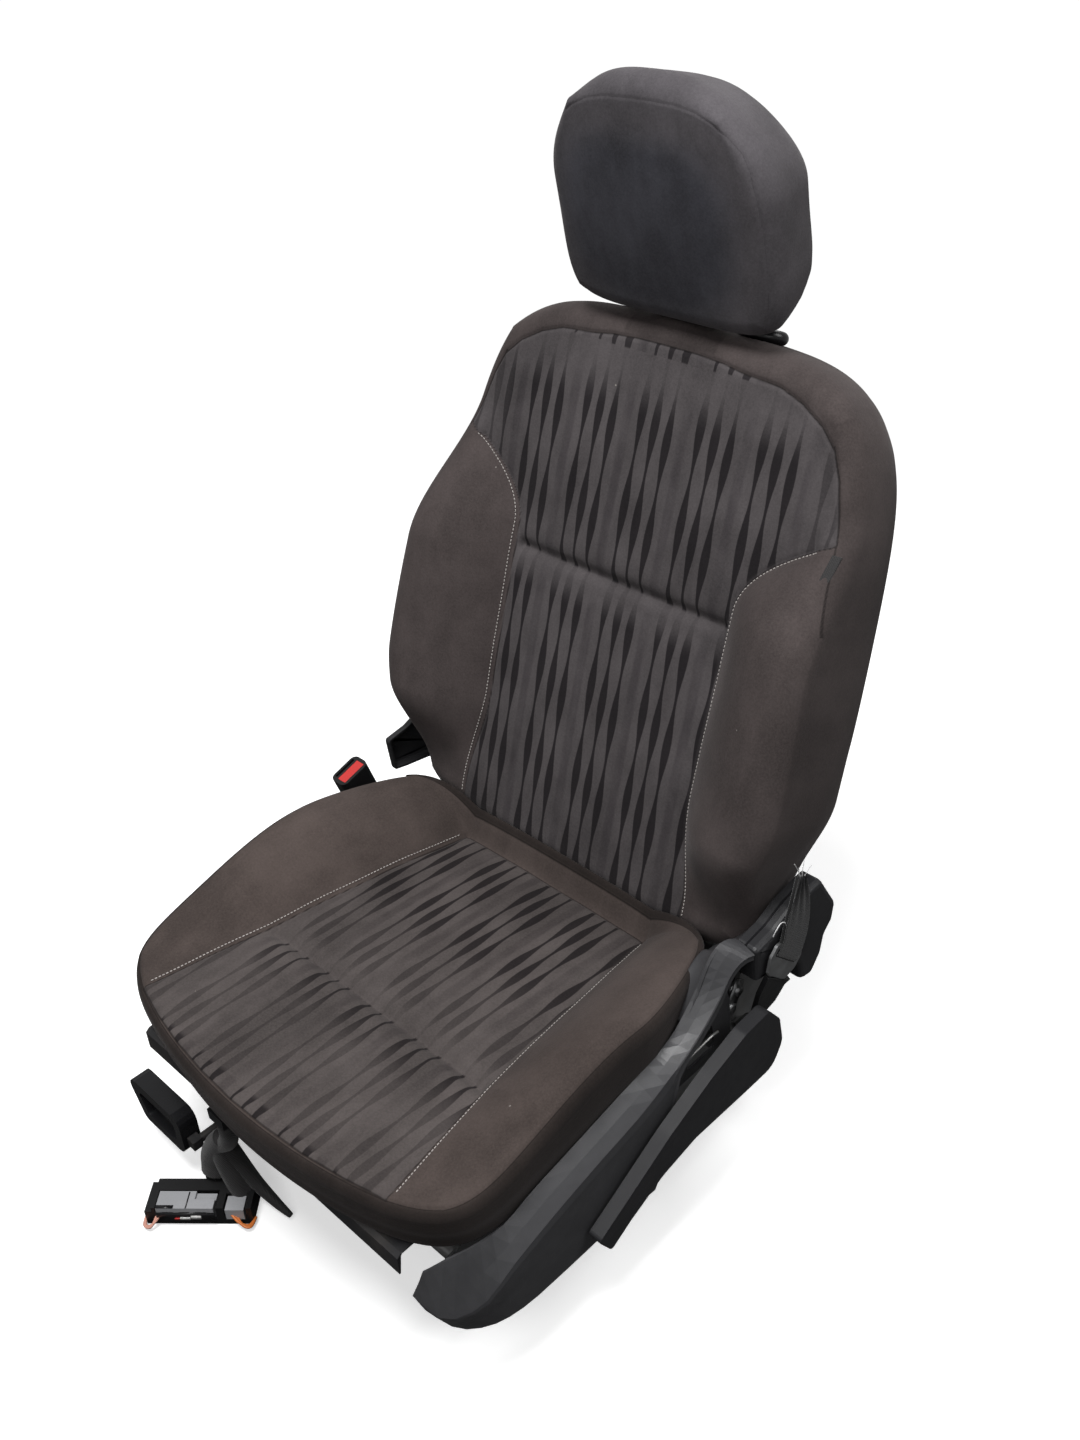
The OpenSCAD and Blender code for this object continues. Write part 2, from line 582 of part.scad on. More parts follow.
pan_t = 1.6;
pan_half_w = side_x - 20;
pan_front_y = -322;
pan_rear_y = -96;
module seat_pan() color(BLACK_STEEL) {
    top = cushion_bottom_z - seat_gap;
    // The dished plate: a turned-down front edge, a flat shelf and a step to the springs
    difference() {
        translate([-pan_half_w, 0, 0]) plate_x(0, 2 * pan_half_w, [[pan_front_y, top - 26],
            [pan_front_y + pan_t, top - 26], [pan_front_y + pan_t + 3, top - pan_t - 2],
            [pan_front_y + 6, top - pan_t], [pan_rear_y - 22, top - pan_t], [pan_rear_y - 12, top - 14],
            [pan_rear_y, top - 14], [pan_rear_y, top - 14 + pan_t], [pan_rear_y - 11, top - 14 + pan_t],
            [pan_rear_y - 21, top], [pan_front_y + 5, top], [pan_front_y, top - 4]]);
        for (x = [-120, 0, 120]) translate([x, -230, top - 20]) cylinder(h = 40, r = 26);
    }
    // Ribs that stand on the front cross tube
    both_sides() difference() {
        for (x = [110, 160]) translate([x, front_tube_y - 14, front_tube_z])
            cube([3, 28, top - pan_t - front_tube_z + eps]);
        bar_x(100, 170, front_tube_y, front_tube_z, front_tube_d / 2 + 0.05);
    }
    // Turned-down edges that rest on the flanges of the side members
    both_sides() translate([pan_half_w - pan_t, -230, flange_z + seat_gap]) {
        cube([pan_t, 160, top - flange_z - seat_gap]);
        difference() {
            cube([side_x - pan_half_w + pan_t - seat_gap, 160, pan_t]);
            for (y = [30, 130]) translate([12, y, -1]) cylinder(h = 6, r = 3.5);
        }
    }
}
// Zigzag springs of flat wire from the pan to the rear cross tube
spring_wire = 4;
module seat_springs() color(STEEL) for (x = [-126, -42, 42, 126]) {
    y_end = rear_tube_y - rear_tube_d / 2;
    steps = 9;
    y0 = pan_rear_y - 6;
    pitch = (y_end - y0) / (steps + 1);
    translate([x, 0, cushion_bottom_z - seat_gap - 14 - spring_wire]) linear_extrude(spring_wire) {
        for (k = [0:steps]) translate([(k % 2 == 0 ? -20 : 20) - spring_wire / 2, y0 + k * pitch])
            square([spring_wire, pitch + (k < steps ? spring_wire / 2 : 0)]);
        for (k = [0:steps]) translate([-20, y0 + k * pitch - spring_wire / 2]) square([40, spring_wire]);
    }
}

module shaft_bushes() color([0.85, 0.84, 0.8]) both_sides() for (y = [front_shaft_y, rear_shaft_y]) difference() {
    union() {
        bar_x(side_x - 1.8, side_x + side_t + 1.8, y, upper_pivot_z, bush_r);
        bar_x(side_x - 1.8, side_x - seat_gap, y, upper_pivot_z, bush_r + 3);
    }
    bar_x(side_x - 3, side_x + side_t + 3, y, upper_pivot_z, journal_r + running);
}

// The friction clutch that the lever pumps, bolted to the outboard side member
clutch_x = side_x + side_t;
clutch_t = 22;
// The mouldings stand outside both the cushion and the clutch
trim_x = max(cushion_w / 2 - 2, clutch_x + clutch_t + 13);
lever_x = trim_x + 25;
boss_t = lever_x + 6 - clutch_x - clutch_t;
module lift_clutch() color(STEEL) difference() {
    union() {
        bar_x(clutch_x, clutch_x + clutch_t, hub_y, hub_z, 18);
        bar_x(clutch_x, clutch_x + clutch_t + boss_t, hub_y, hub_z, hub_r);
        plate_x(clutch_x, 3, rounded([[hub_y - 34, hub_z - 8, 6], [hub_y, hub_z - 28, 10], [hub_y + 28, hub_z - 8, 6],
            [hub_y + 26, hub_z + 12, 6], [hub_y - 32, hub_z + 12, 6]]));
    }
    bar_x(clutch_x - 1, clutch_x + clutch_t - 6, hub_y, hub_z, 6 + running);
    for (s = [-1, 1]) bar_x(clutch_x - 1, clutch_x + 4, hub_y + s * 22.5, hub_z, 2);
}
module lift_pinion() color(STEEL) {
    pitch = 360 / pinion_teeth;
    plate_x(link_x - 1, link_t + 2, [for (k = [0:pinion_teeth - 1])
        each [for (p = tooth(pinion_teeth, mesh_angle + 180 + (k + 0.5) * pitch)) [hub_y, hub_z] + p]]);
    bar_x(link_x - 7, clutch_x + clutch_t - 7, hub_y, hub_z, 6);
}

// The pump lever: a moulded grip, open on its inner side
lever_t = 15;
lever_wall = 2.8;
lever_outline = [[-163, 131, 5], [-146, 103, 5], [-117, 120, 20], [-70, 141, 30], [-20, 151, 40], [60, 149, 40],
    [106, 149, 20], [121, 176, 22], [113, 214, 16], [94, 239, 10], [56, 236, 20], [2, 218, 60], [-60, 190, 60],
    [-126, 152, 40]];
lever_inner = [[-156, 128, 3], [-144, 109, 3], [-117, 124, 18], [-70, 145, 28], [-20, 155, 38], [60, 152, 38],
    [104, 152, 18], [117, 176, 20], [109, 211, 14], [93, 235, 8], [57, 232, 18], [3, 214, 58], [-59, 186, 58],
    [-125, 148, 38]];
module height_lever() color(GREY_PLASTIC) difference() {
    union() {
        difference() {
            plate_x(lever_x, lever_t, rounded(lever_outline));
            plate_x(lever_x - 1, lever_t - lever_wall + 1, rounded(lever_inner));
        }
        bar_x(clutch_x + clutch_t + 4, lever_x + lever_t - 1, hub_y, hub_z, hub_r + 3.4);
    }
    bar_x(clutch_x, clutch_x + clutch_t + boss_t + 2, hub_y, hub_z, hub_r + running);
}

// ================= recliners =================

arm_x = side_x - 7 - side_t;
module recliner_outer_plates() color(STEEL) both_sides() difference() {
    union() {
        bar_x(side_x - 3.5, side_x, recline_y, recline_z, recliner_r);
        bar_x(side_x, side_x + side_t + 3, recline_y, recline_z, recline_rod_d / 2 + 0.9);
    }
    bar_x(side_x - 5, side_x + side_t + 5, recline_y, recline_z, recline_rod_d / 2 + running);
}
// Backrest side arms with the inner halves of the recliners
module recliner_arms() color(BLACK_STEEL) both_sides() difference() {
    union() {
        backrest_frame() plate_x(arm_x, side_t, rounded([[axis_back + 26, axis_up - 24, 20], [axis_back - 26, axis_up - 26, 20],
            [axis_back - 38, axis_up + 8, 16], [46, 70, 20], [36, 196, 10], [60, 196, 10], [84, 60, 20],
            [axis_back + 34, axis_up + 14, 20]]));
        bar_x(arm_x, side_x - 3.5 - seat_gap, recline_y, recline_z, recliner_r);
    }
    bar_x(arm_x - 1, side_x, recline_y, recline_z, recline_rod_d / 2 + running);
    backrest_frame() bar_x(arm_x - 1, arm_x + side_t + 1, 58, 110, 9);
}
// The rod that turns both recliners together, with a splined end on the door side
spline_teeth = 12;
module recline_rod() color(STEEL) {
    r = recline_rod_d / 2;
    bar_x(-side_x - side_t - 9, side_x + side_t + 8, recline_y, recline_z, r);
    plate_x(side_x + side_t + 7, 23, [for (k = [0:2 * spline_teeth - 1])
        [recline_y, recline_z] + (r - (k % 2 == 0 ? 0.2 : 0.9)) * [cos(k * 180 / spline_teeth), sin(k * 180 / spline_teeth)]]);
}

// ================= cushion =================

module cushion() {
    loop = square_loop(cushion_us, cushion_vs);
    top = [for (v = cushion_vs, u = cushion_us) behind_swing(cushion_point([u, v]))];
    function ring(inset, share) = [for (p = loop) let (xy = cushion_xy(p, inset), z = cushion_point(p).z)
        behind_swing([xy.x, xy.y, cushion_bottom_z + (z - cushion_bottom_z) * share])];
    color(CLOTH) padded_shell(top, len(cushion_us), len(cushion_vs),
        [ring(2, 0.72), ring(8, 0.4), ring(11, 0.08), ring(14, 0)],
        [0, cushion_mid_y, cushion_bottom_z]);
}

// ================= trim =================

// A smooth curve through a list of points: the place at the share q of its length
function along(p, q) =
    let (n = len(p) - 1, s = min(max(q, 0), 1) * n, i = min(n - 1, floor(s)), t = s - i,
         a = p[max(0, i - 1)], b = p[i], c = p[i + 1], d = p[min(n, i + 2)])
    b + 0.5 * t * (c - a + t * (2 * a - 5 * b + 4 * c - d + t * (3 * b - a - 3 * c + d)));

// A thin closed shell: rows of points on its outer face, thickened inwards by t
module thin_shell(rows, t) {
    m = len(rows) - 1;
    n = len(rows[0]) - 1;
    count = (m + 1) * (n + 1);
    outer = [for (r = rows) each r];
    inner = [for (j = [0:m], i = [0:n])
        let (du = rows[j][min(n, i + 1)] - rows[j][max(0, i - 1)],
             dv = rows[min(m, j + 1)][i] - rows[max(0, j - 1)][i])
        rows[j][i] + t * unit(cross(du, dv))];
    function at(j, i) = j * (n + 1) + i;
    rim = concat([for (i = [0:n - 1]) at(0, i)], [for (j = [0:m - 1]) at(j, n)],
        [for (i = [n:-1:1]) at(m, i)], [for (j = [m:-1:1]) at(j, 0)]);
    quads = [for (j = [0:m - 1], i = [0:n - 1]) [at(j, i), at(j, i + 1), at(j + 1, i + 1), at(j + 1, i)]];
    polyhedron(points = concat(outer, inner), faces = concat(
        [for (q = quads) each [[q[0], q[1], q[2]], [q[0], q[2], q[3]]]],
        [for (q = quads) each [[q[0], q[2], q[1]] + count * [1, 1, 1], [q[0], q[3], q[2]] + count * [1, 1, 1]]],
        [for (k = [0:len(rim) - 1]) let (a = rim[k], b = rim[(k + 1) % len(rim)])
            each [[b, a, a + count], [b, a + count, b + count]]]), convexity = 8);
}

// A moulded cap: an outline of [y, z] with a rolled outer edge, hollow from its inner side
function drawn_in(p, d) = let (n = len(p)) [for (i = [0:n - 1])
    let (e = unit(p[(i + 1) % n] - p[(i + n - 1) % n])) p[i] + d * [-e.y, e.x]];
module rolled_plate(x0, t, outline, centre, roll) {
    n = len(outline);
    steps = [[0, 0], [t - roll, 0], [t - roll * 0.5, roll * 0.134], [t - roll * 0.134, roll * 0.5], [t, roll]];
    rings = [for (s = steps) [for (q = drawn_in(outline, s.y)) [x0 + s.x, q.x, q.y]]];
    m = len(rings) - 1;
    polyhedron(points = concat([for (r = rings) each r], [[x0, centre.x, centre.y], [x0 + t, centre.x, centre.y]]),
        faces = concat([for (k = [0:m - 1], i = [0:n - 1]) let (j = (i + 1) % n)
            each [[k * n + i, (k + 1) * n + i, (k + 1) * n + j], [k * n + i, (k + 1) * n + j, k * n + j]]],
        [for (i = [0:n - 1]) [i, (i + 1) % n, (m + 1) * n]],
        [for (i = [0:n - 1]) [m * n + (i + 1) % n, m * n + i, (m + 1) * n + 1]]), convexity = 4);
}
module moulded_cap(x0, t, outline, centre, roll) difference() {
    rolled_plate(x0, t, outline, centre, roll);
    rolled_plate(x0 - 1, t - trim_t + 1, drawn_in(outline, trim_t), centre, roll);
}

// Points drawn for a trim line at 262, moved to where it lies
function beside_trim(p) = [for (q = p) q + [trim_x - 262, 0, 0]];

// The shield on the door side: a top face that runs up to a horn, and a side that curls in at the front
shield_top = beside_trim([[240, -322, 196], [254, -303, 209], [259.5, -275, 205], [259.5, -240, 200], [259.5, -203, 211],
    [259.5, -144, 223], [260, -82, 237], [259.8, -38, 244], [259.3, -24, 248], [258, 1, 258], [258, 26, 284],
    [259, 42, 312], [260, 58, 326], [261, 74, 325], [262, 87.4, 317]]);
shield_crease = beside_trim([[234, -332, 168], [262, -322, 150], [278, -290, 152], [281, -249, 174], [281, -195, 191],
    [281, -136, 206], [281, -78, 219], [281, -36, 235], [281, -22, 241], [281, 10, 260], [280, 38, 282],
    [279, 54, 300], [280, 66, 309], [282, 77, 312], [284, 87.4, 310]]);
shield_foot = beside_trim([[230, -318, 126], [258, -306, 114], [276, -280, 108], [283, -245, 104], [284, -199, 102],
    [284, -150, 101], [284, -100, 101], [284, -52, 102], [283, -24, 220], [281, 12, 246], [280, 40, 268],
    [279, 57, 288], [280, 68, 299], [282, 78, 303], [284, 87.4, 302]]);
module outer_shield() color(GREY_PLASTIC) difference() {
    union() {
        stations = 33;
        top = [for (i = [0:stations]) along(shield_top, i / stations)];
        crease = [for (i = [0:stations]) along(shield_crease, i / stations)];
        foot = [for (i = [0:stations]) along(shield_foot, i / stations)];
        thin_shell([top, (top + crease) / 2 + [for (p = top) [0.5, 0, 1]], crease,
            (crease * 0.9 + foot * 0.1) + [for (p = top) [1, 0, 0]], (crease + foot) / 2, foot], trim_t);
        // The wall of the pocket behind the lever
        plate_x(shield_top[3].x + 0.3, trim_t, concat([for (k = [stations:-1:0]) if (top[k].y > -60) [top[k].y, top[k].z - 1.8]],
            [[-60, 176], [80, 176], [84, 190], [80, 240], [64, 290]]));
        // The floor of the pocket and its front end, out to the side wall
        translate([shield_top[3].x + 0.3, -62, 176]) cube([22, 30, trim_t]);
        // Posts on the side member
        for (p = [[-186, 156], [-112, 150]]) bar_x(side_x + side_t, shield_foot[4].x - 2, p.x, p.y, 6);
    }
    // Window in the pocket and room for the hub of the lever
    plate_x(shield_top[3].x - 1, 6, rounded([[12, 190, 4], [58, 190, 4], [52, 226, 4], [22, 222, 4]]));
    bar_x(side_x + side_t, lever_x, hub_y, hub_z, hub_r + 9);
}

cover_x = trim_x;
cover_outline = [[112, 264, 8], [150, 258, 10], [166, 238, 12], [172, 212, 10], [192, 208, 10], [207, 228, 10],
    [212, 252, 10], [224, 264, 8], [227, 286, 8], [196, 336, 9], [172, 334, 20], [146, 329, 20], [119, 318, 20],
    [88, 313, 5], [93, 268, 3]];
module recliner_cover(t) {
    outline = rounded(cover_outline);
    moulded_cap(cover_x, t, outline, [170, 268], 6);
    // Feet on the side member
    for (p = [[recline_y - 12, recline_z - 12], [recline_y + 6, recline_z + 18]])
        bar_x(side_x + side_t, cover_x + t - 1.5, p.x, p.y, 4);
}
module recliner_cover_outboard() color(GREY_PLASTIC) recliner_cover(24);
module recliner_cover_inboard() color(GREY_PLASTIC) mirror([1, 0, 0]) recliner_cover(11);

// ================= belt buckle =================

buckle_tilt = 18;
buckle_x = trim_x + 8;
stalk_top = 84;
module buckle_frame() translate([0, buckle_y, buckle_z]) rotate([buckle_tilt, 0, 0]) children();
module buckle_stalk() color(STEEL) difference() {
    x0 = side_x + side_t + seat_gap;
    buckle_frame() translate([0, 13, 0]) rotate([90, 0, 0]) linear_extrude(26)
        polygon([[-x0, -16], [-x0, 14], [-buckle_x + 2, 60], [-buckle_x + 2, stalk_top], [-buckle_x - 2, stalk_top],
            [-buckle_x - 2, 58.5], [-x0 - 4, 12.5], [-x0 - 4, -16]]);
    bar_x(-x0 - 5, -x0 + 1, buckle_y, buckle_z, anchor_bolt_r + running);
}
module buckle_bolt() color(STEEL) {
    x0 = side_x + side_t + seat_gap + 4;
    bar_x(-x0 - 5, -x0, buckle_y, buckle_z, 10);
    bar_x(-x0 - 5, -side_x + 1.5, buckle_y, buckle_z, anchor_bolt_r);
}
housing_h = 62;
button_well = 24;
module buckle_housing() color(BLACK_PLASTIC) buckle_frame() translate([-buckle_x, 2, stalk_top]) difference() {
    linear_extrude(housing_h) polygon(rounded([[-13, -21, 8], [13, -21, 8], [13, 21, 8], [-13, 21, 8]], 6));
    // Well of the button and slot of the tongue
    translate([-3.5, -16.3, housing_h - button_well]) cube([13, 32.6, button_well + 1]);
    translate([-10, -15, housing_h - 44]) cube([3.6, 30, 45]);
}
module buckle_button() color(RED) buckle_frame()
    translate([-buckle_x - 3.2, -14, stalk_top + housing_h - 16]) cube([12.4, 32, 16]);

// ================= belt anchor =================

// A flat strap that follows a line of [x, y, z], with its width given as a direction at each point
module strap(path, across, w, t) {
    n = len(path) - 1;
    out = [for (i = [0:n]) unit(cross(across[i], path[min(n, i + 1)] - path[max(0, i - 1)]))];
    rows = [for (k = [-1, 1]) [for (i = [0:n]) path[i] + across[i] * w[i] / 2 * k]];
    pts = [for (i = [0:n], c = [[-1, -1], [1, -1], [1, 1], [-1, 1]])
        rows[(c.x + 1) / 2][i] + out[i] * t / 2 * c.y];
    polyhedron(points = pts, faces = concat(
        [for (i = [0:n - 1], k = [0:3]) let (a = 4 * i + k, b = 4 * i + (k + 1) % 4)
            each [[b + 4, a + 4, a], [b, b + 4, a]]],
        [[2, 1, 0], [3, 2, 0], [4 * n + 1, 4 * n + 2, 4 * n], [4 * n + 2, 4 * n + 3, 4 * n]]), convexity = 6);
}
anchor_x = side_x + side_t + 1.9;
anchor_path = concat([[anchor_x, 130, 108], [anchor_x, 130, 124], [anchor_x, 129.5, 141]],
    beside_trim([[240, 129, 152], [260, 125, 172], [274, 122, 204], [283, 121, 238], [290.6, 121, 263]]));
anchor_across = [[0, 1, 0], [0, 1, 0], [0, 1, 0], [0, 1, 0], [0, 1, 0], [0, 0.99, -0.1], [0, 0.94, -0.34],
    [0, 0.8, -0.6]];
anchor_t = 3;
slot_centre = [trim_x + 29, 132, 281];
module slot_frame() translate(slot_centre) rotate([-slot_turn, 0, 0]) children();
module belt_anchor_plate() color(STEEL) difference() {
    union() {
        strap([for (i = [0:7]) anchor_path[i]], anchor_across, [28, 28, 28, 26, 26, 28, 32, 40], anchor_t);
        // The widened end, with the slot of the webbing
        slot_frame() translate([-anchor_t / 2, 0, 0]) plate_x(0, anchor_t, rounded([[-30, -8, 6], [-20, -24, 4], [20, -24, 4], [30, -8, 6],
            [30, 10, 6], [-30, 10, 6]]));
    }
    slot_frame() translate([-10, -belt_w / 2 - 1, -4]) cube([20, belt_w + 2, 8]);
    bar_x(side_x, side_x + 12, belt_bolt_y, belt_bolt_z, anchor_bolt_r + running);
}
module belt_anchor_bolt() color(STEEL) {
    x0 = anchor_x + anchor_t / 2;
    bar_x(x0, x0 + 5, belt_bolt_y, belt_bolt_z, 10);
    bar_x(side_x - 1, x0 + 5, belt_bolt_y, belt_bolt_z, anchor_bolt_r);
}
sleeve_t = 5.6;
module belt_sleeve() color(BLACK_PLASTIC) difference() {
    strap([for (i = [3:7]) anchor_path[i]] + [[0, 0, 0], [0, 0, 0], [0, 0, 0], [0, 0, 0], [0, 0, -4]],
        [for (i = [3:7]) anchor_across[i]], [29, 29.5, 38, 46, 50], sleeve_t);
    strap([for (i = [2:7]) anchor_path[i]], [for (i = [2:7]) anchor_across[i]],
        [29, 27, 27, 29, 33, 41], anchor_t + 0.9);
    // Room for the widened end of the plate
    slot_frame() plate_x(-anchor_t / 2 - seat_gap, anchor_t + 2 * seat_gap, [[-31, -8], [-21, -25], [21, -25],
        [31, -8], [31, 11], [-31, 11]]);
}
// Webbing folded through the slot, cut off short above it
web_t = 1.3;
web_line = [[0, 0], [0, 12], [-8, 28], [-22, 46], [-38, 64], [-54, 80]];
web_turn = [0, 0, 15, 35, 42, 45];
web_share = [1, 1, 0.96, 0.78, 0.5, 0.2];
slot_turn = 43.8;
function web_point(x, p) = slot_centre
    + [x, p.x * cos(slot_turn) + p.y * sin(slot_turn), p.y * cos(slot_turn) - p.x * sin(slot_turn)];
function web_across(k) = [0, cos(slot_turn - web_turn[k]), -sin(slot_turn - web_turn[k])];
module belt_webbing() color(BLACK_PLASTIC) {
    order = [5, 4, 3, 2, 1, 0];
    strap(concat([for (k = order) web_point(2.4 - 0.3 * k, web_line[k])],
        [web_point(1.5, [0, -2.4]), web_point(-1.5, [0, -2.4])],
        [for (k = [0:5]) web_point(0.3 * k - 2.4, web_line[k])]),
        concat([for (k = order) web_across(k)], [web_across(0), web_across(0)], [for (k = [0:5]) web_across(k)]),
        belt_w * concat([for (k = order) web_share[k]], [1, 1], web_share), web_t);
}

// ================= wiring =================

loom_y = -318;
loom_r = loom_d / 2;
loom_line = [[-76, loom_y, 142], [-76, loom_y, 120], [-82, loom_y, 102], [-97, loom_y, 86], [-112, loom_y, 70],
    [-118, loom_y, 52], [-118, loom_y, 30]];
// Clip under the pan, with the part of the loom that is tied to the frame
module loom_clip() color(BLACK_PLASTIC) {
    r = loom_r - 1;
    top = cushion_bottom_z - seat_gap - pan_t;
    z = top - r - 1;
    translate([loom_line[0].x - 13, loom_y - 11, 142]) cube([26, 32, 14]);
    translate([loom_line[0].x + 10, loom_y + 4, 142]) cube([4, 12, top - 142]);
    translate([loom_line[0].x, loom_y + 12, 150]) cylinder(h = z - 150, r = r);
    translate([loom_line[0].x, loom_y + 12, z]) sphere(r = r);
    translate([loom_line[0].x, loom_y + 12, z]) rotate([-90, 0, 0]) cylinder(h = 165, r = r);
}
module loom_free() color(BLACK_PLASTIC) {
    sides = 12;
    n = 8;
    path = concat([loom_line[0]], [for (k = [0:n]) along([for (i = [1:5]) loom_line[i]], k / n)], [loom_line[6]]);
    m = len(path) - 1;
    pts = [for (i = [0:m]) let (d = i == 0 || i == m ? [0, 0, -1] : unit(path[i + 1] - path[i - 1]),
        u = unit(cross([0, 1, 0], d))) for (k = [0:sides - 1])
        path[i] + loom_r * (cos(k * 360 / sides) * u + sin(k * 360 / sides) * [0, 1, 0])];
    polyhedron(points = pts, faces = concat([for (i = [0:m - 1], k = [0:sides - 1])
        let (a = i * sides + k, b = i * sides + (k + 1) % sides) each [[a, a + sides, b + sides], [a, b + sides, b]]],
        [for (k = [1:sides - 2]) each [[0, k, k + 1], [m * sides, m * sides + k + 1, m * sides + k]]]), convexity = 4);
}
block_turn = 42;
block_len = 116;
block_w = 38;
block_h = 26;
module block_frame() translate([-107, -352, 0.3]) rotate([0, 0, block_turn]) children();
module connector_block() color(BLACK_PLASTIC) {
    block_frame() difference() {
        translate([-block_len / 2, -block_w / 2, 0]) cube([block_len, block_w, block_h]);
        // Sockets of the plugs, open towards the front
        translate([-46, -block_w / 2 - 1, 9]) cube([66, 24, block_h]);
        translate([28, -block_w / 2 - 1, 9]) cube([24, 20, block_h]);
        // Step of the shell
        translate([-block_len / 2 - 1, -block_w / 2 - 1, block_h - 6]) cube([9, block_w + 2, 7]);
    }
    // Boot that takes the loom from above
    translate([loom_line[6].x - 12, loom_y - 14, 0.3]) cube([24, 24, loom_line[6].z - 0.3]);
}
module connector_plugs() color([0.72, 0.72, 0.74]) block_frame() {
    translate([-44, -block_w / 2 - 2, 9.2]) difference() {
        cube([62, 22, block_h - 7]);
        for (k = [0:2]) translate([6 + k * 18, -1, 4]) cube([12, 9, 9]);
        translate([40, 12, block_h - 11]) cube([23, 11, 6]);
    }
    translate([30, -block_w / 2 - 1, 9.2]) cube([20, 18, block_h - 11]);
}

// ================= backrest =================

hoop_x = arm_x - 0.1 - hoop_tube_d / 2;
hoop_bend = 90;
hoop_top = 500;
hoop_lean = 2.75;
module hoop_plane() backrest_frame() translate([0, 52, 20]) rotate([hoop_lean, 0, 0]) children();
module backrest_hoop() color(BLACK_STEEL) hoop_plane() {
    r = hoop_tube_d / 2;
    for (s = [-1, 1]) translate([s * hoop_x, 0, 36]) cylinder(h = hoop_top - hoop_bend - 36, r = r);
    both_sides() translate([hoop_x - hoop_bend, 0, hoop_top - hoop_bend]) rotate([90, 0, 0])
        rotate_extrude(angle = 90) translate([hoop_bend, 0]) circle(r = r);
    bar_x(hoop_bend - hoop_x, hoop_x - hoop_bend, 0, hoop_top, r);
}
module backrest_cross_tube() color(BLACK_STEEL) backrest_frame() difference() {
    bar_x(-arm_x, arm_x, 60, 38, 9);
    bar_x(-arm_x - 1, arm_x + 1, 60, 38, 7.5);
}
wire_r = 1.5;
module backrest_wires() color(STEEL) hoop_plane() {
    x = hoop_x - hoop_tube_d / 2;
    for (z = [130, 240, 350]) bar_x(-x, x, 0, z, wire_r);
    for (x = [-90, 0, 90]) translate([x, 2 * wire_r, 122]) cylinder(h = 236, r = wire_r);
}
post_x = post_spacing / 2;
post_back = 5;
post_r = post_d / 2;
sleeve_r = post_r + 2.8;
module sleeve_sockets() color(BLACK_STEEL) backrest_frame() both_sides() difference() {
    translate([post_x - 11, post_back - 11, 478]) cube([22, 23, 54]);
    translate([post_x, post_back, 470]) cylinder(h = 70, r = sleeve_r + 0.2);
}
collar_z = pad_low + pad_h + 0.3;
module guide_sleeve(s) backrest_frame() translate([s * post_x, post_back, 0]) difference() {
    union() {
        translate([0, 0, 470]) cylinder(h = collar_z - 470 + eps, r = sleeve_r);
        translate([0, 0, collar_z]) linear_extrude(9) polygon([for (a = [0:10:350]) [23 * cos(a), 13.5 * sin(a)]]);
    }
    translate([0, 0, 460]) cylinder(h = 140, r = post_r + running);
    if (s < 0) translate([-24, -4.4, collar_z + 2]) cube([11, 8.8, 5]);
}
module guide_sleeve_plain() color(BLACK_PLASTIC) guide_sleeve(1);
module guide_sleeve_lock() color(BLACK_PLASTIC) guide_sleeve(-1);
module lock_button() color(BLACK_PLASTIC) backrest_frame()
    translate([-post_x - 26, post_back - 4, collar_z + 2.4]) cube([8.5, 8, 4.2]);

module backrest_pad() {
    loop = square_loop(pad_us, pad_vs);
    top = [for (v = pad_vs, u = pad_us) pad_point([u, v])];
    function floor_y(s) = foam_t - panel_out(s);
    function ring(y, inset, narrow) = [for (p = loop)
        let (q = pad_xs(p, inset, narrow), e = pad_point(p).y) [q.x, max(y, e + 2), q.y]];
    opening = [for (p = loop) let (q = recess_xs(p)) [q.x, pad_back, q.y]];
    bottom = [for (p = loop) let (q = recess_xs(p)) [q.x, floor_y(q.y), q.y]];
    color(CLOTH) difference() {
        backrest_frame() padded_shell(top, len(pad_us), len(pad_vs), [ring(30, 0, 3), ring(62, 12, 6), ring(88, 22, 8),
            ring(pad_back, 27, 8), opening, bottom], [0, floor_y(282), 282]);
        backrest_frame() {
            // Room for the recliners and for the rod between them
            both_sides() translate([arm_x + 46, axis_back, axis_up]) rotate([0, 90, 0])
                cylinder(h = 100, r = 60, center = true);
            bar_x(-300, 300, axis_back, axis_up, 14);
            // Room for the arms, the feet of the hoop and the tube between them
            both_sides() translate([arm_x - 24.5, 33, -50]) cube([33, 80, 260]);
            translate([-recess_w / 2, 46, 22]) cube([recess_w, 60, 60]);
            both_sides() translate([post_x, post_back, 500]) cylinder(h = 100, r = sleeve_r + 0.3);
        }
        // Room for the covers of the recliners, on a wider pad
        both_sides() plate_x(trim_x - 2, 60, drawn_in(rounded(cover_outline), -2));
    }
}
module rear_panel() color(BLACK_PLASTIC) backrest_frame()
    plate_y(pad_back + seat_gap, trim_t, [for (p = square_loop(pad_us, pad_vs))
        let (q = pad_xs(p, 31, 8), w = 200 + 60 * ease((q.y - 60) / 40)) [max(-w, min(w, q.x)), max(q.y, 30)]]);
// A small blank label sewn in where the bolster's seam meets the side of the pad
module side_tab() color(BLACK_PLASTIC) backrest_frame() translate([pad_w / 2 - 277, 0, 0])
    multmatrix([[1, 0, 0, 0], [0, 1, 0.4583, -0.4583 * 386], [0, 0, 1, 0]])
        translate([0, 0, 386.2]) linear_extrude(23.6)
            polygon([[241, -47.42], [248.5, -43.17], [248.1, -44.3], [240.6, -48.55]]);

// ================= head restraint =================

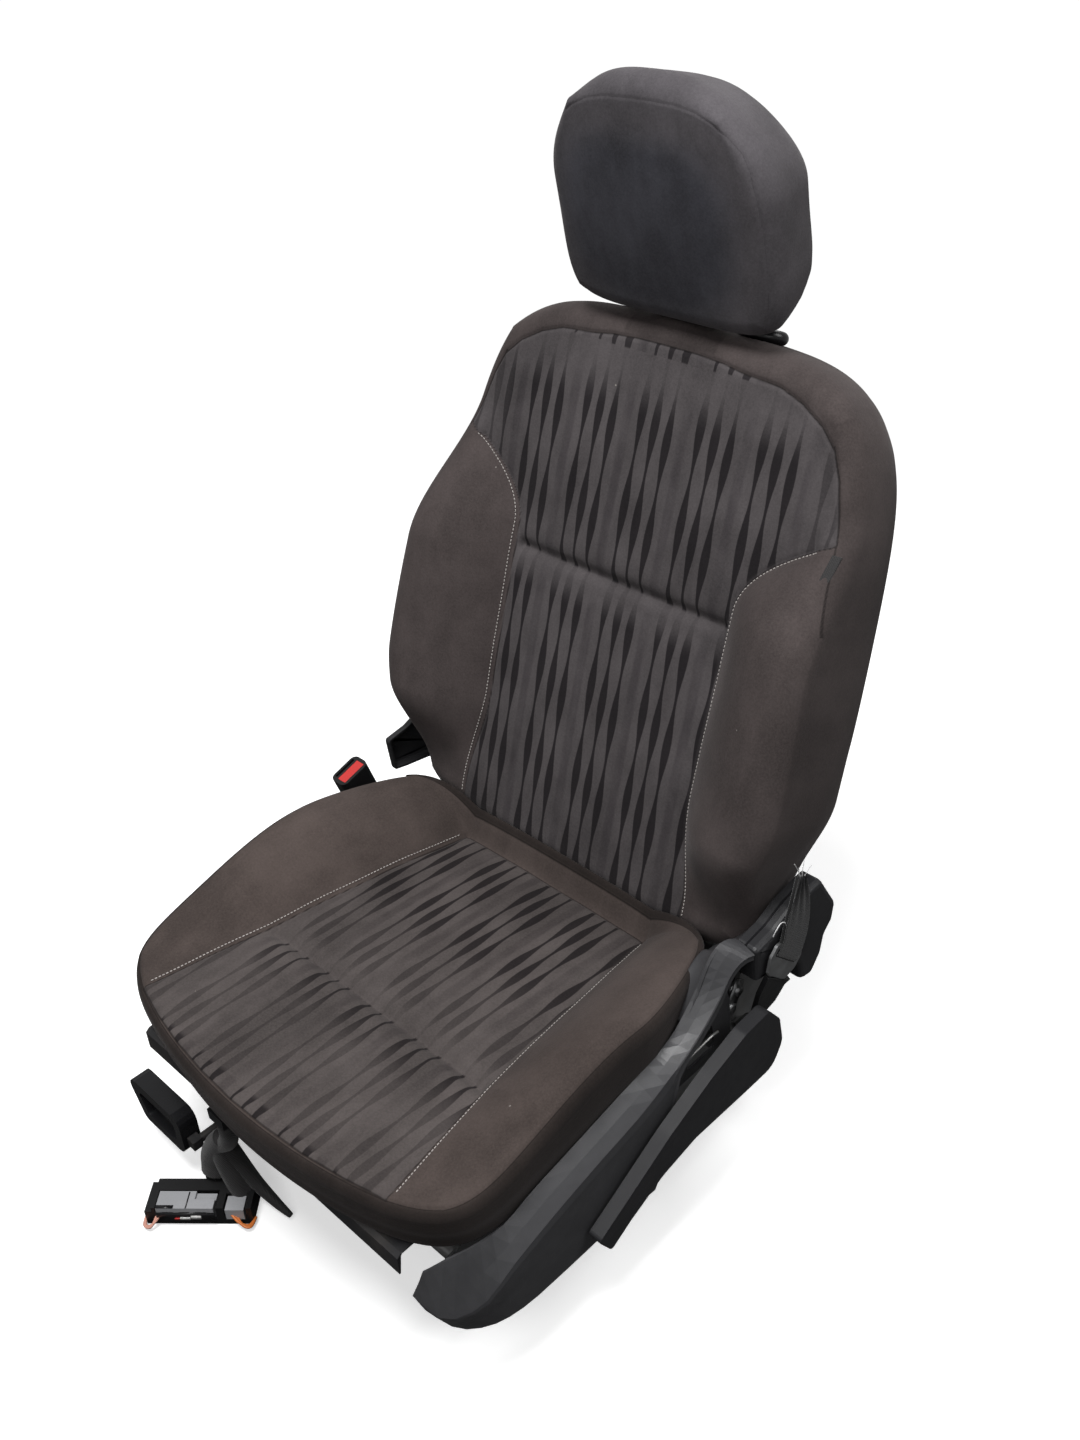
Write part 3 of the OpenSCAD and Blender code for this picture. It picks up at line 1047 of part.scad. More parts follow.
module head_restraint_pad() {
    loop = square_loop(head_us, head_vs);
    top = [for (v = head_vs, u = head_us) head_point([u, v])];
    // The top falls away towards the back
    function ring(y, inset, fall) = [for (p = loop) let (q = head_xz(p, inset))
        [q.x, y, q.y - fall * ease(q.y / head_h * 2)]];
    color(CLOTH) head_frame() padded_shell(top, len(head_us), len(head_vs),
        [ring(0, 4, 6), ring(20, 9, 9), ring(38, 18, 12), ring(head_d / 2 - 2, 36, 18)], [0, head_d / 2, 0]);
}
post_bend = 33;
bend_r = 40;
post_low = 440;
bend_z = 632;
post_end = 60;
module head_restraint_posts() color(STEEL) backrest_frame() {
    centre_y = post_back - bend_r;
    y1 = centre_y + bend_r * cos(post_bend);
    z1 = bend_z + bend_r * sin(post_bend);
    difference() {
        for (s = [-1, 1]) translate([s * post_x, post_back, post_low]) cylinder(h = bend_z - post_low, r = post_r);
        for (k = [0:4]) translate([-post_x - post_r - 2, post_back - 8, 508 + k * 17]) cube([3, 16, 3]);
    }
    for (s = [-1, 1]) {
        translate([s * post_x, centre_y, bend_z]) rotate([90, 0, 90])
            rotate_extrude(angle = post_bend) translate([bend_r, 0]) circle(r = post_r);
        translate([s * post_x, y1, z1]) rotate([post_bend, 0, 0]) cylinder(h = post_end + 8, r = post_r);
    }
    // The bar between the posts, inside the pad
    bar_x(-post_x, post_x, y1 - post_end * sin(post_bend), z1 + post_end * cos(post_bend), post_r - 1.5);
}

lower_rail_outboard();
lower_rail_inboard();
front_feet();
rear_feet();
upper_rail_outboard();
upper_rail_inboard();
front_rail_brackets();
rear_rail_brackets();
rail_glides();
lower_pivot_bolts();
release_handle();
release_rod();
rear_links();
rear_lift_shaft();
front_links();
front_lift_shaft();
side_member_outboard();
side_member_inboard();
front_cross_tube();
rear_cross_tube();
seat_pan();
seat_springs();
shaft_bushes();
lift_clutch();
lift_pinion();
height_lever();
recliner_outer_plates();
recliner_arms();
recline_rod();
cushion();
outer_shield();
recliner_cover_outboard();
recliner_cover_inboard();
buckle_stalk();
buckle_housing();
buckle_button();
buckle_bolt();
belt_anchor_plate();
belt_sleeve();
belt_webbing();
belt_anchor_bolt();
loom_clip();
loom_free();
connector_block();
connector_plugs();
backrest_hoop();
backrest_cross_tube();
backrest_wires();
sleeve_sockets();
guide_sleeve_plain();
guide_sleeve_lock();
lock_button();
backrest_pad();
rear_panel();
side_tab();
head_restraint_pad();
head_restraint_posts();
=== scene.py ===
"""Front seat of a passenger car: cloth pads, mouldings, belt end and wiring over its frame.

Every object is in metres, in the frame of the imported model: X to the door side, the occupant
faces -Y, Z up. Lengths inside the functions are millimetres until a mesh is built.
"""

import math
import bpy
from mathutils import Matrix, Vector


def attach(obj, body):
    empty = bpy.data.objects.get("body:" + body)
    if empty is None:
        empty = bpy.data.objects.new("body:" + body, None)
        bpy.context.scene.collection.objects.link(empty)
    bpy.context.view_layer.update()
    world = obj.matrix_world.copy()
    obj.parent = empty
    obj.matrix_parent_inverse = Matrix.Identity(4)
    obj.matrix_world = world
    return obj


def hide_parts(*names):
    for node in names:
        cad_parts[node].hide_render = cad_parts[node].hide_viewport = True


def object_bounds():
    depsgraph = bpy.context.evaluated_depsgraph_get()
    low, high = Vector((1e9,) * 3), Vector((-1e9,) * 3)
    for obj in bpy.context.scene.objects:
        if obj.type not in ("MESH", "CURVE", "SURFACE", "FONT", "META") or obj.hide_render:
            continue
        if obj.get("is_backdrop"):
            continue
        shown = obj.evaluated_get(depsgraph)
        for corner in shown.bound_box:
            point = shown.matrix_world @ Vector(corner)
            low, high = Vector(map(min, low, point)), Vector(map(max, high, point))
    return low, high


bl_info = {
    "name": "Passenger car front seat",
    "version": (1, 0, 0),
    "blender": (4, 5, 0),
    "location": "3D View > Sidebar > Car seat",
    "description": "Builds the cloth, mouldings, belt end and wiring of a car's front seat",
    "category": "Object",
}

import bmesh
import bpy
import numpy as np
from mathutils import Matrix

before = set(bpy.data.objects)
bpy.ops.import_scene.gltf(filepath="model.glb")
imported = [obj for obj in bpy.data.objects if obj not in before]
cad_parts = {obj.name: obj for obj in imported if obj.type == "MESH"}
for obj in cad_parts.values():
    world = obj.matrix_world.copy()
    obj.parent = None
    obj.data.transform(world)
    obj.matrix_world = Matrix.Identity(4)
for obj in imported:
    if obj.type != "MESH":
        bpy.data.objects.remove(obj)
cad_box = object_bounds()
MM = 0.001

# ================= shape helpers =================


def ease(q):
    """Smooth step: 3 q squared minus 2 q cubed, with q held between 0 and 1."""
    t = np.clip(q, 0, 1)
    return t * t * (3 - 2 * t)


def pull_in(u, v, n):
    """Factor that draws the square's edge in to |u|^n + |v|^n = 1; inside it fades to 1 by the fourth power."""
    m = np.maximum(abs(u), abs(v))
    q = np.maximum((abs(u) ** n + abs(v) ** n) ** (1 / n), 1e-6)
    return np.where(m < 0.001, 1, 1 + (m / q - 1) * m**4)


def edge_roll(d, r):
    """Drop of a quarter circle of radius r at the distance d from the edge."""
    return r - np.sqrt(np.maximum(r * r - np.maximum(r - np.maximum(d, 0), 0) ** 2, 0))


def spread(n, crowd=0.25):
    """n places from -1 to 1, closer together near both ends: (1 + crowd) t minus crowd t cubed."""
    t = np.linspace(-1, 1, n)
    return (1 + crowd) * t - crowd * t**3


def unit(a):
    return a / np.maximum(np.linalg.norm(a, axis=-1, keepdims=True), 1e-9)


def smooth_curve(points, n):
    """Catmull-Rom curve through the points, at n even steps of its parameter."""
    p = np.asarray(points, float)
    s = np.linspace(0, len(p) - 1, n)
    i = np.minimum(s.astype(int), len(p) - 2)
    t = (s - i)[:, None]
    a, b, c, d = p[np.maximum(i - 1, 0)], p[i], p[i + 1], p[np.minimum(i + 2, len(p) - 1)]
    return b + 0.5 * t * (c - a + t * (2 * a - 5 * b + 4 * c - d + t * (3 * b - a - 3 * c + d)))


def even_points(line, step):
    """Points a fixed distance apart along a line of points."""
    line = np.asarray(line, float)
    run = np.concatenate([[0], np.cumsum(np.linalg.norm(np.diff(line, axis=0), axis=1))])
    at = np.arange(step / 2, run[-1], step)
    return np.stack([np.interp(at, run, line[:, k]) for k in range(line.shape[1])], -1)


def signed_distance(px, py, outline):
    """Distance of each point from a closed outline, negative inside it."""
    a = np.asarray(outline, float)
    b = np.roll(a, -1, axis=0)
    best = np.full(px.shape, 1e9)
    inside = np.zeros(px.shape, bool)
    for (ax, ay), (bx, by) in zip(a, b):
        dx, dy = bx - ax, by - ay
        t = np.clip(((px - ax) * dx + (py - ay) * dy) / max(dx * dx + dy * dy, 1e-9), 0, 1)
        best = np.minimum(best, np.hypot(px - ax - t * dx, py - ay - t * dy))
        if ay != by:
            crosses = ((ay > py) != (by > py)) & (px < ax + (py - ay) * dx / dy)
            inside ^= crosses
    return np.where(inside, -best, best)


def turned(p, degrees, axis=0):
    """Points turned about the X (0), Y (1) or Z (2) axis."""
    return p @ np.array(Matrix.Rotation(math.radians(degrees), 3, "XYZ"[axis])).T


def placed(degrees, axis, origin):
    """A function that carries points from a part's own frame to the seat's: a turn, then a move."""
    return lambda p: turned(p, degrees, axis) + origin


BACKREST_LEAN = -22
in_backrest = placed(BACKREST_LEAN, 0, [0, 119, 277])
in_head = placed(11, 0, [0, 311, 946])
in_block = placed(42, 2, [-107, -352, 0.3])

# ================= mesh helpers =================


def new_object(name, points, faces, marks=None, smooth=True):
    """A mesh object from points in millimetres; marks are named values, a number or a vector for each point."""
    mesh = bpy.data.meshes.new(name)
    mesh.from_pydata((np.asarray(points, float) * MM).tolist(), [], faces)
    for key, values in (marks or {}).items():
        values = np.asarray(values, np.float32)
        kind, field = ("FLOAT", "value") if values.ndim == 1 else ("FLOAT_VECTOR", "vector")
        mesh.attributes.new(key, kind, "POINT").data.foreach_set(field, values.ravel())
    if smooth:
        mesh.polygons.foreach_set("use_smooth", np.ones(len(mesh.polygons), bool))
    mesh.update()
    obj = bpy.data.objects.new(name, mesh)
    bpy.context.scene.collection.objects.link(obj)
    return obj


def grid_faces(rows, cols, wrap=False, base=0):
    """Quads of a grid of rows x cols points; wrap joins the last column to the first."""
    j, i = np.meshgrid(np.arange(rows - 1), np.arange(cols if wrap else cols - 1), indexing="ij")
    a = j * cols + i
    b = j * cols + (i + 1) % cols
    return (np.stack([a, b, b + cols, a + cols], -1).reshape(-1, 4) + base).tolist()


def grid_loop(nu, nv):
    """Numbers of the edge points of a grid, in order round it."""
    k = np.arange(nu * nv).reshape(nv, nu)
    return np.concatenate([k[0, :-1], k[:-1, -1], k[-1, :0:-1], k[:0:-1, 0]])


def closed_pad(name, top, rings, last, marks):
    """A pad: the grid of its face, then rings of points down its sides and round its back, closed by one point.

    top is (rows, columns, 3); each ring has one point for each edge point of the grid and takes its marks."""
    nv, nu = top.shape[:2]
    loop = grid_loop(nu, nv)
    count = len(loop)
    numbers = [loop] + [nu * nv + k * count + np.arange(count) for k in range(len(rings))]
    points = np.concatenate([top.reshape(-1, 3)] + list(rings) + [np.asarray([last], float)])
    faces = grid_faces(nv, nu)
    for a, b in zip(numbers, numbers[1:]):
        faces += np.stack([np.roll(a, -1), a, b, np.roll(b, -1)], -1).tolist()
    tip = np.full(count, len(points) - 1)
    faces += np.stack([np.roll(numbers[-1], -1), numbers[-1], tip], -1).tolist()
    full = {}
    for key, values in marks.items():
        flat = values.reshape(nu * nv, -1)
        edge = flat[loop]
        full[key] = np.concatenate([flat] + [edge] * len(rings) + [edge[:1]])
    return new_object(name, points, faces, full)


def swept(name, path, profile, side, scale=None, wrap=False, smooth=True):
    """A closed profile of (side, out) offsets carried along a path; side is the profile's first direction.

    Each point is path + side x first offset + (side cross tangent) x second offset. Open ends are capped."""
    path, side, shape = np.asarray(path, float), unit(np.asarray(side, float)), np.asarray(profile, float)
    n, m = len(path), len(shape)
    ahead = unit(np.gradient(path, axis=0) if not wrap else np.roll(path, -1, 0) - np.roll(path, 1, 0))
    side = unit(side - ahead * np.sum(side * ahead, -1, keepdims=True))
    out = np.cross(side, ahead)
    scale = np.ones((n, 1, 1)) if scale is None else np.asarray(scale, float).reshape(n, 1, -1)
    offs = shape[None] * scale
    pts = path[:, None] + offs[..., :1] * side[:, None] + offs[..., 1:] * out[:, None]
    faces = grid_faces(n, m, wrap=True)
    k, last = np.arange(m), (n - 1) * m
    if wrap:
        faces += np.stack([last + k, last + (k + 1) % m, (k + 1) % m, k], -1).tolist()
    else:
        faces += [k[::-1].tolist(), (last + k).tolist()]
    return outward(new_object(name, pts.reshape(-1, 3), faces, smooth=smooth))


def outward(obj):
    """Turns the faces of a closed mesh outwards."""
    bm = bmesh.new()
    bm.from_mesh(obj.data)
    bmesh.ops.recalc_face_normals(bm, faces=bm.faces)
    bm.to_mesh(obj.data)
    bm.free()
    return obj


def circle_profile(r, n=12):
    a = np.arange(n) * 2 * math.pi / n
    return np.stack([r * np.cos(a), r * np.sin(a)], -1)


def joined(name, objects):
    """One mesh object out of several."""
    points, faces, base = [], [], 0
    for obj in objects:
        co = np.empty(len(obj.data.vertices) * 3)
        obj.data.vertices.foreach_get("co", co)
        points.append(co.reshape(-1, 3) / MM)
        faces += [[v + base for v in poly.vertices] for poly in obj.data.polygons]
        base += len(obj.data.vertices)
        bpy.data.objects.remove(obj)
    return new_object(name, np.concatenate(points), faces)


STITCH_SHARE, STITCH_LIFT = 0.72, 0.2  # length over pitch, height above the cloth


def stitch_row(line, normal):
    """A row of stitches along a line: at each step a small spindle of four rings of six points."""
    sizes = bpy.context.scene.car_seat_sizes
    pitch, width = sizes.stitch_pitch / MM, sizes.thread_width / MM
    mids = even_points(line, pitch)
    step = np.linspace(0, len(line) - 1, len(mids))
    tang = unit(np.gradient(mids, axis=0))
    norm = unit(np.stack([np.interp(step, np.arange(len(line)), normal[:, k]) for k in range(3)], -1))
    side = unit(np.cross(tang, norm))
    norm = np.cross(side, tang)
    along = np.array([-0.5, -0.32, 0.32, 0.5])[:, None] * (pitch * STITCH_SHARE)
    swell = np.array([0.35, 1, 1, 0.35])[:, None] * width / 2
    a = np.arange(6) * math.pi / 3
    height = swell * np.sin(a) * 0.8 + STITCH_LIFT - 0.6 * (swell < width / 2)
    ring = np.stack([np.broadcast_to(along, (4, 6)), swell * np.cos(a), height], -1)
    pts = (mids[:, None, None] + ring[None, ..., :1] * tang[:, None, None]
           + ring[None, ..., 1:2] * side[:, None, None] + ring[None, ..., 2:] * norm[:, None, None])
    first = 24 * np.arange(len(mids))[:, None, None]
    quads = (np.array(grid_faces(4, 6, wrap=True))[None] + first).reshape(-1, 4).tolist()
    caps = (first[:, 0] + np.arange(6)[::-1]).tolist() + (first[:, 0] + 18 + np.arange(6)).tolist()
    return outward(new_object("Row", pts.reshape(-1, 3), quads + caps))


# ================= materials =================


class Wires:
    """Short calls that add nodes to a tree and link them."""

    def __init__(self, tree):
        self.tree = tree

    def put(self, socket, value):
        if isinstance(value, bpy.types.NodeSocket):
            self.tree.links.new(value, socket)
        else:
            socket.default_value = value

    def fill(self, node, values):
        for key, value in values.items():
            self.put(node.inputs[key], value)

    def node(self, kind, inputs=None, **settings):
        made = self.tree.nodes.new("ShaderNode" + kind)
        for key, value in settings.items():
            setattr(made, key, value)
        self.fill(made, inputs or {})
        return made

    def math(self, op, a, b=0.0, clamp=False):
        return self.node("Math", {0: a, 1: b}, operation=op, use_clamp=clamp).outputs[0]

    def add(self, a, b):
        return self.math("ADD", a, b)

    def sub(self, a, b, clamp=False):
        return self.math("SUBTRACT", a, b, clamp)

    def mul(self, a, b):
        return self.math("MULTIPLY", a, b)

    def blend(self, fac, a, b, mode="MIX"):
        inputs = {"Factor": fac, "A": a, "B": b}
        return self.node("Mix", inputs, data_type="RGBA", blend_type=mode).outputs["Result"]

    def noise(self, vector, scale, detail=2.0, rough=0.5):
        inputs = {"Vector": vector, "Scale": scale, "Detail": detail, "Roughness": rough}
        return self.node("TexNoise", inputs).outputs[0]

    def ribs(self, vector, scale, distortion, detail=2.0):
        """Diagonal ribs, as of a weave or a twisted thread."""
        inputs = {"Vector": vector, "Scale": scale, "Distortion": distortion, "Detail": detail}
        return self.node("TexWave", inputs, wave_type="BANDS", bands_direction="DIAGONAL").outputs["Fac"]

    def cells(self, vector, scale, randomness):
        inputs = {"Vector": vector, "Scale": scale, "Randomness": randomness}
        return self.node("TexVoronoi", inputs, feature="F1").outputs

    def remap(self, value, lo, hi, to_lo=0.0, to_hi=1.0, kind="SMOOTHSTEP"):
        inputs = {"Value": value, "From Min": lo, "From Max": hi, "To Min": to_lo, "To Max": to_hi}
        return self.node("MapRange", inputs, interpolation_type=kind).outputs[0]

    def scaled(self, vector, *factors):
        return self.node("VectorMath", {0: vector, 1: factors}, operation="MULTIPLY").outputs[0]

    def parts(self, vector):
        return self.node("SeparateXYZ", {0: vector}).outputs

    def place(self):
        return self.node("TexCoord").outputs["Object"]

    def mark(self, name):
        return self.node("Attribute", attribute_name=name).outputs["Vector"]

    def shaded(self, colour, shade):
        """A colour multiplied by a grey value."""
        grey = self.node("CombineColor", {0: shade, 1: shade, 2: shade}).outputs[0]
        return self.blend(1.0, colour, grey, "MULTIPLY")

    def group(self, make, inputs):
        """A shared node group, made at its first use."""
        if make not in GROUPS:
            GROUPS[make] = make()
        return self.node("Group", inputs, node_tree=GROUPS[make]).outputs


GROUPS = {}


def shader_group(name, inputs, outputs):
    """An empty node group with named sockets; inputs are (name, kind, default), every output is a value."""
    group = bpy.data.node_groups.new(name, "ShaderNodeTree")
    for label, kind, default in inputs:
        socket = group.interface.new_socket(label, in_out="INPUT", socket_type="NodeSocket" + kind)
        if default is not None:
            socket.default_value = default
    for label in outputs:
        group.interface.new_socket(label, in_out="OUTPUT", socket_type="NodeSocketFloat")
    return Wires(group), group.nodes.new("NodeGroupInput").outputs, group.nodes.new("NodeGroupOutput")


def rgb(r, g, b):
    """A colour written as 0-255 screen values, as the linear numbers of a shader."""
    lin = [(c / 255 / 12.92) if c <= 10 else ((c / 255 + 0.055) / 1.055) ** 2.4 for c in (r, g, b)]
    return (*lin, 1.0)


def nap_group():
    """Velour nap: clouds where the pile lies differently, fine fibre speckle and lint, and its height."""
    inputs = [("Lay", "Vector", None), ("Place", "Vector", None), ("Cloud", "Float", 0.2), ("Fibre", "Float", 0.1)]
    w, i, o = shader_group("Velour nap", inputs, ["Shade", "Lint", "Height"])
    place = i["Place"]
    cloud = w.noise(place, 9.0, 3.0, 0.6)
    smear = w.noise(w.scaled(i["Lay"], 30.0, 11.0, 1.0), 1.0, 3.0, 0.6)
    soft = w.add(w.mul(cloud, 0.65), w.mul(smear, 0.35))
    big = w.mul(w.sub(w.remap(soft, 0.32, 0.68), 0.5), i["Cloud"])
    fine = w.noise(place, 420.0, 4.0, 0.75)
    grain = w.mul(w.sub(fine, 0.5), i["Fibre"])
    dots = w.cells(place, 22.0, 1.0)
    chance = w.node("SeparateColor", {0: dots["Color"]}).outputs
    speck = w.math("LESS_THAN", dots["Distance"], w.mul(chance[0], 0.03))
    lint = w.mul(speck, w.math("GREATER_THAN", chance[1], 0.72))
    w.fill(o, {"Shade": w.add(w.add(1.0, big), grain), "Lint": lint, "Height": w.add(fine, w.mul(cloud, 0.6))})
    return w.tree


def stripe_group():
    """Woven stripes: three dark spindles and one broad faint one in each repeat, each swelling along its length."""
    inputs = [("Lay", "Vector", None), ("Pitch", "Float", 0.0185), ("Repeat", "Float", 0.098),
              ("Phase", "Float", 0.0), ("Lean", "Float", 0.02)]
    w, i, o = shader_group("Spindle stripes", inputs, ["Dark", "Faint"])
    across, along, _ = w.parts(i["Lay"])
    x = w.add(across, w.mul(along, i["Lean"]))
    col = w.math("DIVIDE", x, i["Pitch"])
    index = w.math("FLOOR", w.add(col, 0.5))
    off = w.math("ABSOLUTE", w.sub(col, index))
    slot = w.math("FLOORED_MODULO", index, 4.0)
    turn = w.add(w.math("DIVIDE", along, i["Repeat"]), w.add(i["Phase"], w.mul(slot, 0.13)))
    wave = w.mul(w.add(w.math("COSINE", w.mul(turn, 2 * math.pi)), 1.0), 0.5)
    half = w.add(0.085, w.mul(wave, 0.2))
    dark = w.remap(w.sub(off, half), -0.035, 0.035, 1.0, 0.0)
    is_faint = w.math("GREATER_THAN", slot, 2.5)
    broad = w.remap(off, 0.2, 0.42, 1.0, 0.0)
    tuft = w.remap(w.noise(w.scaled(i["Lay"], 60.0, 16.0, 1.0), 1.0, 2.0), 0.3, 0.7, 0.35, 1.0)
    w.fill(o, {"Dark": w.mul(dark, w.sub(1.0, is_faint)), "Faint": w.mul(w.mul(broad, is_faint), tuft)})
    return w.tree


def grain_group():
    """Moulded plastic: a fine leathery grain, rubbed lighter in patches, with dust and a few scuffs."""
    inputs = [("Place", "Vector", None), ("Scale", "Float", 1400.0), ("Wear", "Float", 0.15)]
    w, i, o = shader_group("Moulded grain", inputs, ["Shade", "Rough", "Height"])
    cells = w.cells(i["Place"], i["Scale"], 0.9)["Distance"]
    patch = w.remap(w.noise(i["Place"], 14.0, 4.0, 0.65), 0.35, 0.7)
    scuff = w.remap(w.noise(w.scaled(i["Place"], 60.0, 420.0, 60.0), 1.0, 3.0, 0.7), 0.62, 0.75)
    rub = w.mul(w.add(patch, w.mul(scuff, 0.7)), i["Wear"])
    shade = w.add(1.0, w.sub(rub, w.mul(cells, 0.12)))
    w.fill(o, {"Shade": shade, "Rough": w.sub(0.0, w.mul(rub, 0.5)), "Height": cells})
    return w.tree


def new_material(name):
    mat = bpy.data.materials.new(name)
    mat.use_nodes = True
    return mat, Wires(mat.node_tree), mat.node_tree.nodes["Principled BSDF"]


def bump(w, height, strength, distance):
    return w.node("Bump", {"Height": height, "Strength": strength, "Distance": distance}).outputs[0]


def cloth_material(name, plain, ground, weave=None, cloud=0.5):
    """Velour: plain outside the sewn panel and striped inside it, told apart by the panel's signed distance.

    weave is the dark and the faint stripe's colour and the stripe group's inputs. Without it the third number
    of lay blends the plain cloth into the ground; on the head restraint that is painted sheen, the face darker in its
    middle and lighter round it."""
    mat, w, bsdf = new_material(name)
    lay, (panel, seam, darker) = w.mark("lay"), w.parts(w.mark("seams"))
    strength = w.parts(lay)[2]
    nap = w.group(nap_group, {"Lay": lay, "Place": w.place(), "Cloud": cloud, "Fibre": 0.9})
    if weave:
        dark, faint, inputs = weave
        stripes = w.group(stripe_group, {"Lay": lay, **inputs})
        striped = w.blend(w.mul(stripes["Faint"], w.mul(strength, 0.8)), ground, faint)
        striped = w.blend(w.mul(stripes["Dark"], strength), striped, dark)
        colour = w.blend(w.remap(panel, -0.0006, 0.0006, 1.0, 0.0, "LINEAR"), plain, striped)
    else:
        colour = w.blend(strength, plain, ground)
    seam = w.remap(w.math("ABSOLUTE", seam), 0.0003, 0.0013, 0.4, 1.0)
    # Painted shade: the third number of seams darkens the cushion's sides below the welt; on the backrest it darkens
    # past the side seams, round the sides and between the posts.
    band = w.sub(1.0, w.mul(darker, 0.62))
    colour = w.shaded(colour, w.mul(w.mul(nap["Shade"], seam), band))
    w.fill(bsdf, {
        "Base Color": w.blend(w.mul(nap["Lint"], 0.5), colour, rgb(176, 170, 164)),
        "Roughness": 0.95,
        "Specular IOR Level": 0.15,
        "Sheen Weight": 0.12,
        "Sheen Roughness": 0.45,
        "Sheen Tint": rgb(205, 200, 200),
        "Normal": bump(w, nap["Height"], 0.4, 0.0008),
    })
    return mat


def plastic_material(name, colour, rough, wear, scale=1400.0, strength=0.25):
    """Moulded plastic with the shared grain."""
    mat, w, bsdf = new_material(name)
    grain = w.group(grain_group, {"Place": w.place(), "Scale": scale, "Wear": wear})
    w.fill(bsdf, {
        "Base Color": w.shaded(colour, grain["Shade"]),
        "Roughness": w.add(grain["Rough"], rough),
        "Specular IOR Level": 0.4,
        "Normal": bump(w, grain["Height"], strength, 0.0003),
    })
    return mat


def metal_material(name, colour, metallic, rough, stain):
    """Pressed steel: rolling lines, zinc or paint mottling, and a film of dust."""
    mat, w, bsdf = new_material(name)
    place = w.place()
    lines = w.noise(w.scaled(place, 500.0, 30.0, 500.0), 1.0, 2.0)
    mottle = w.remap(w.noise(place, 55.0, 4.0, 0.65), 0.3, 0.75)
    dust = w.remap(w.noise(place, 16.0, 3.0, 0.6), 0.42, 0.72)
    shade = w.add(w.mul(lines, 0.15), w.add(0.78, w.mul(mottle, 0.2)))
    w.fill(bsdf, {
        "Base Color": w.blend(w.mul(dust, stain), w.shaded(colour, shade), rgb(104, 96, 88)),
        "Roughness": w.add(w.mul(mottle, 0.18), rough),
        "Metallic": w.sub(metallic, w.mul(dust, stain * 0.8), clamp=True),
        "Normal": bump(w, w.add(lines, mottle), 0.12, 0.0003),
    })
    return mat


def weave_material(name, colour):
    """Belt webbing and fleece tape: fine diagonal ribs broken up by a still finer noise."""
    mat, w, bsdf = new_material(name)
    place = w.place()
    weave = w.add(w.ribs(place, 210.0, 0.6, 1.0), w.noise(place, 900.0, 1.0))
    w.fill(bsdf, {
        "Base Color": w.shaded(colour, w.add(0.7, w.mul(weave, 0.32))),
        "Roughness": 0.7,
        "Sheen Weight": 0.2,
        "Normal": bump(w, weave, 0.5, 0.0005),
    })
    return mat


def thread_material(name, colour):
    """Sewing thread: the diagonal ribs of its ply."""
    mat, w, bsdf = new_material(name)
    ply = w.ribs(w.place(), 900.0, 1.5)
    w.fill(bsdf, {
        "Base Color": w.shaded(colour, w.add(0.75, w.mul(ply, 0.35))),
        "Roughness": 0.65,
        "Normal": bump(w, ply, 0.4, 0.0002),
    })
    return mat


# plastics: roughness, wear, size and depth of the grain; metals: metallic, roughness, dust
RECIPES = {
    "grey moulding": (plastic_material, "Grey moulding", (62, 62, 64), 0.48, 0.3),
    "dark moulding": (plastic_material, "Dark grey moulding", (38, 38, 40), 0.5, 0.3),
    "black moulding": (plastic_material, "Black moulding", (21, 21, 22), 0.45, 0.2),
    "black smooth": (plastic_material, "Black smooth plastic", (24, 24, 26), 0.3, 0.1, 500.0, 0.05),
    "white plastic": (plastic_material, "White plastic", (226, 226, 224), 0.4, 0.05, 900.0, 0.05),
    "orange wire": (plastic_material, "Orange wire", (226, 128, 62), 0.4, 0.05, 900.0, 0.05),
    "pink wire": (plastic_material, "Pink wire", (228, 168, 150), 0.4, 0.05, 900.0, 0.05),
    "red moulding": (plastic_material, "Red moulding", (206, 62, 60), 0.38, 0.1, 900.0, 0.08),
    "light moulding": (plastic_material, "Light grey moulding", (168, 169, 172), 0.42, 0.1, 900.0, 0.1),
    "nylon": (plastic_material, "Nylon", (196, 192, 178), 0.5, 0.05, 900.0, 0.08),
    "black steel": (metal_material, "Black painted steel", (34, 34, 36), 0.0, 0.42, 0.2),
    "bare steel": (metal_material, "Zinc plated steel", (150, 151, 152), 0.85, 0.32, 0.25),
    "bright wire": (metal_material, "Bright drawn wire", (190, 190, 188), 0.8, 0.3, 0.1),
    "webbing": (weave_material, "Webbing", (11, 10, 12)),
    "loom fleece": (weave_material, "Loom fleece tape", (20, 18, 19)),
    "grey thread": (thread_material, "Light grey thread", (186, 180, 176)),
    "white thread": (thread_material, "White thread", (236, 236, 236)),
}

# name, tint over the colours of the finish settings, inputs of the stripe group
STRIPED_CLOTHS = {
    "cushion cloth": ("Cushion velour", (1.0, 0.96, 0.9),
                      {"Pitch": 0.0172, "Repeat": 0.088, "Phase": 0.35, "Lean": 0.0}),
    "backrest cloth": ("Backrest velour", (1.0, 1.0, 1.0),
                       {"Pitch": 0.0185, "Repeat": 0.099, "Phase": 0.1, "Lean": 0.02}),
}

MATERIALS = {}


def material(key):
    """The material of a key, made at its first use."""
    if key in MATERIALS:
        return MATERIALS[key]
    if key in STRIPED_CLOTHS:
        name, tint, inputs = STRIPED_CLOTHS[key]
        s = bpy.context.scene.car_seat_finish
        plain, ground, dark, faint = [(*(c * t for c, t in zip(colour, tint)), 1.0)
                                      for colour in (s.bolster, s.ground, s.stripe, s.faint)]
        made = cloth_material(name, plain, ground, (dark, faint, inputs))
    elif key == "head cloth":
        # Painted sheen: the lighter plain colour round the face and the darker ground over its middle stand in for the
        # velour's sheen.
        made = cloth_material("Head restraint velour", rgb(80, 77, 80), rgb(65, 65, 71), cloud=0.6)
    else:
        make, name, colour, *rest = RECIPES[key]
        made = make(name, rgb(*colour), *rest)
    MATERIALS[key] = made
    return made


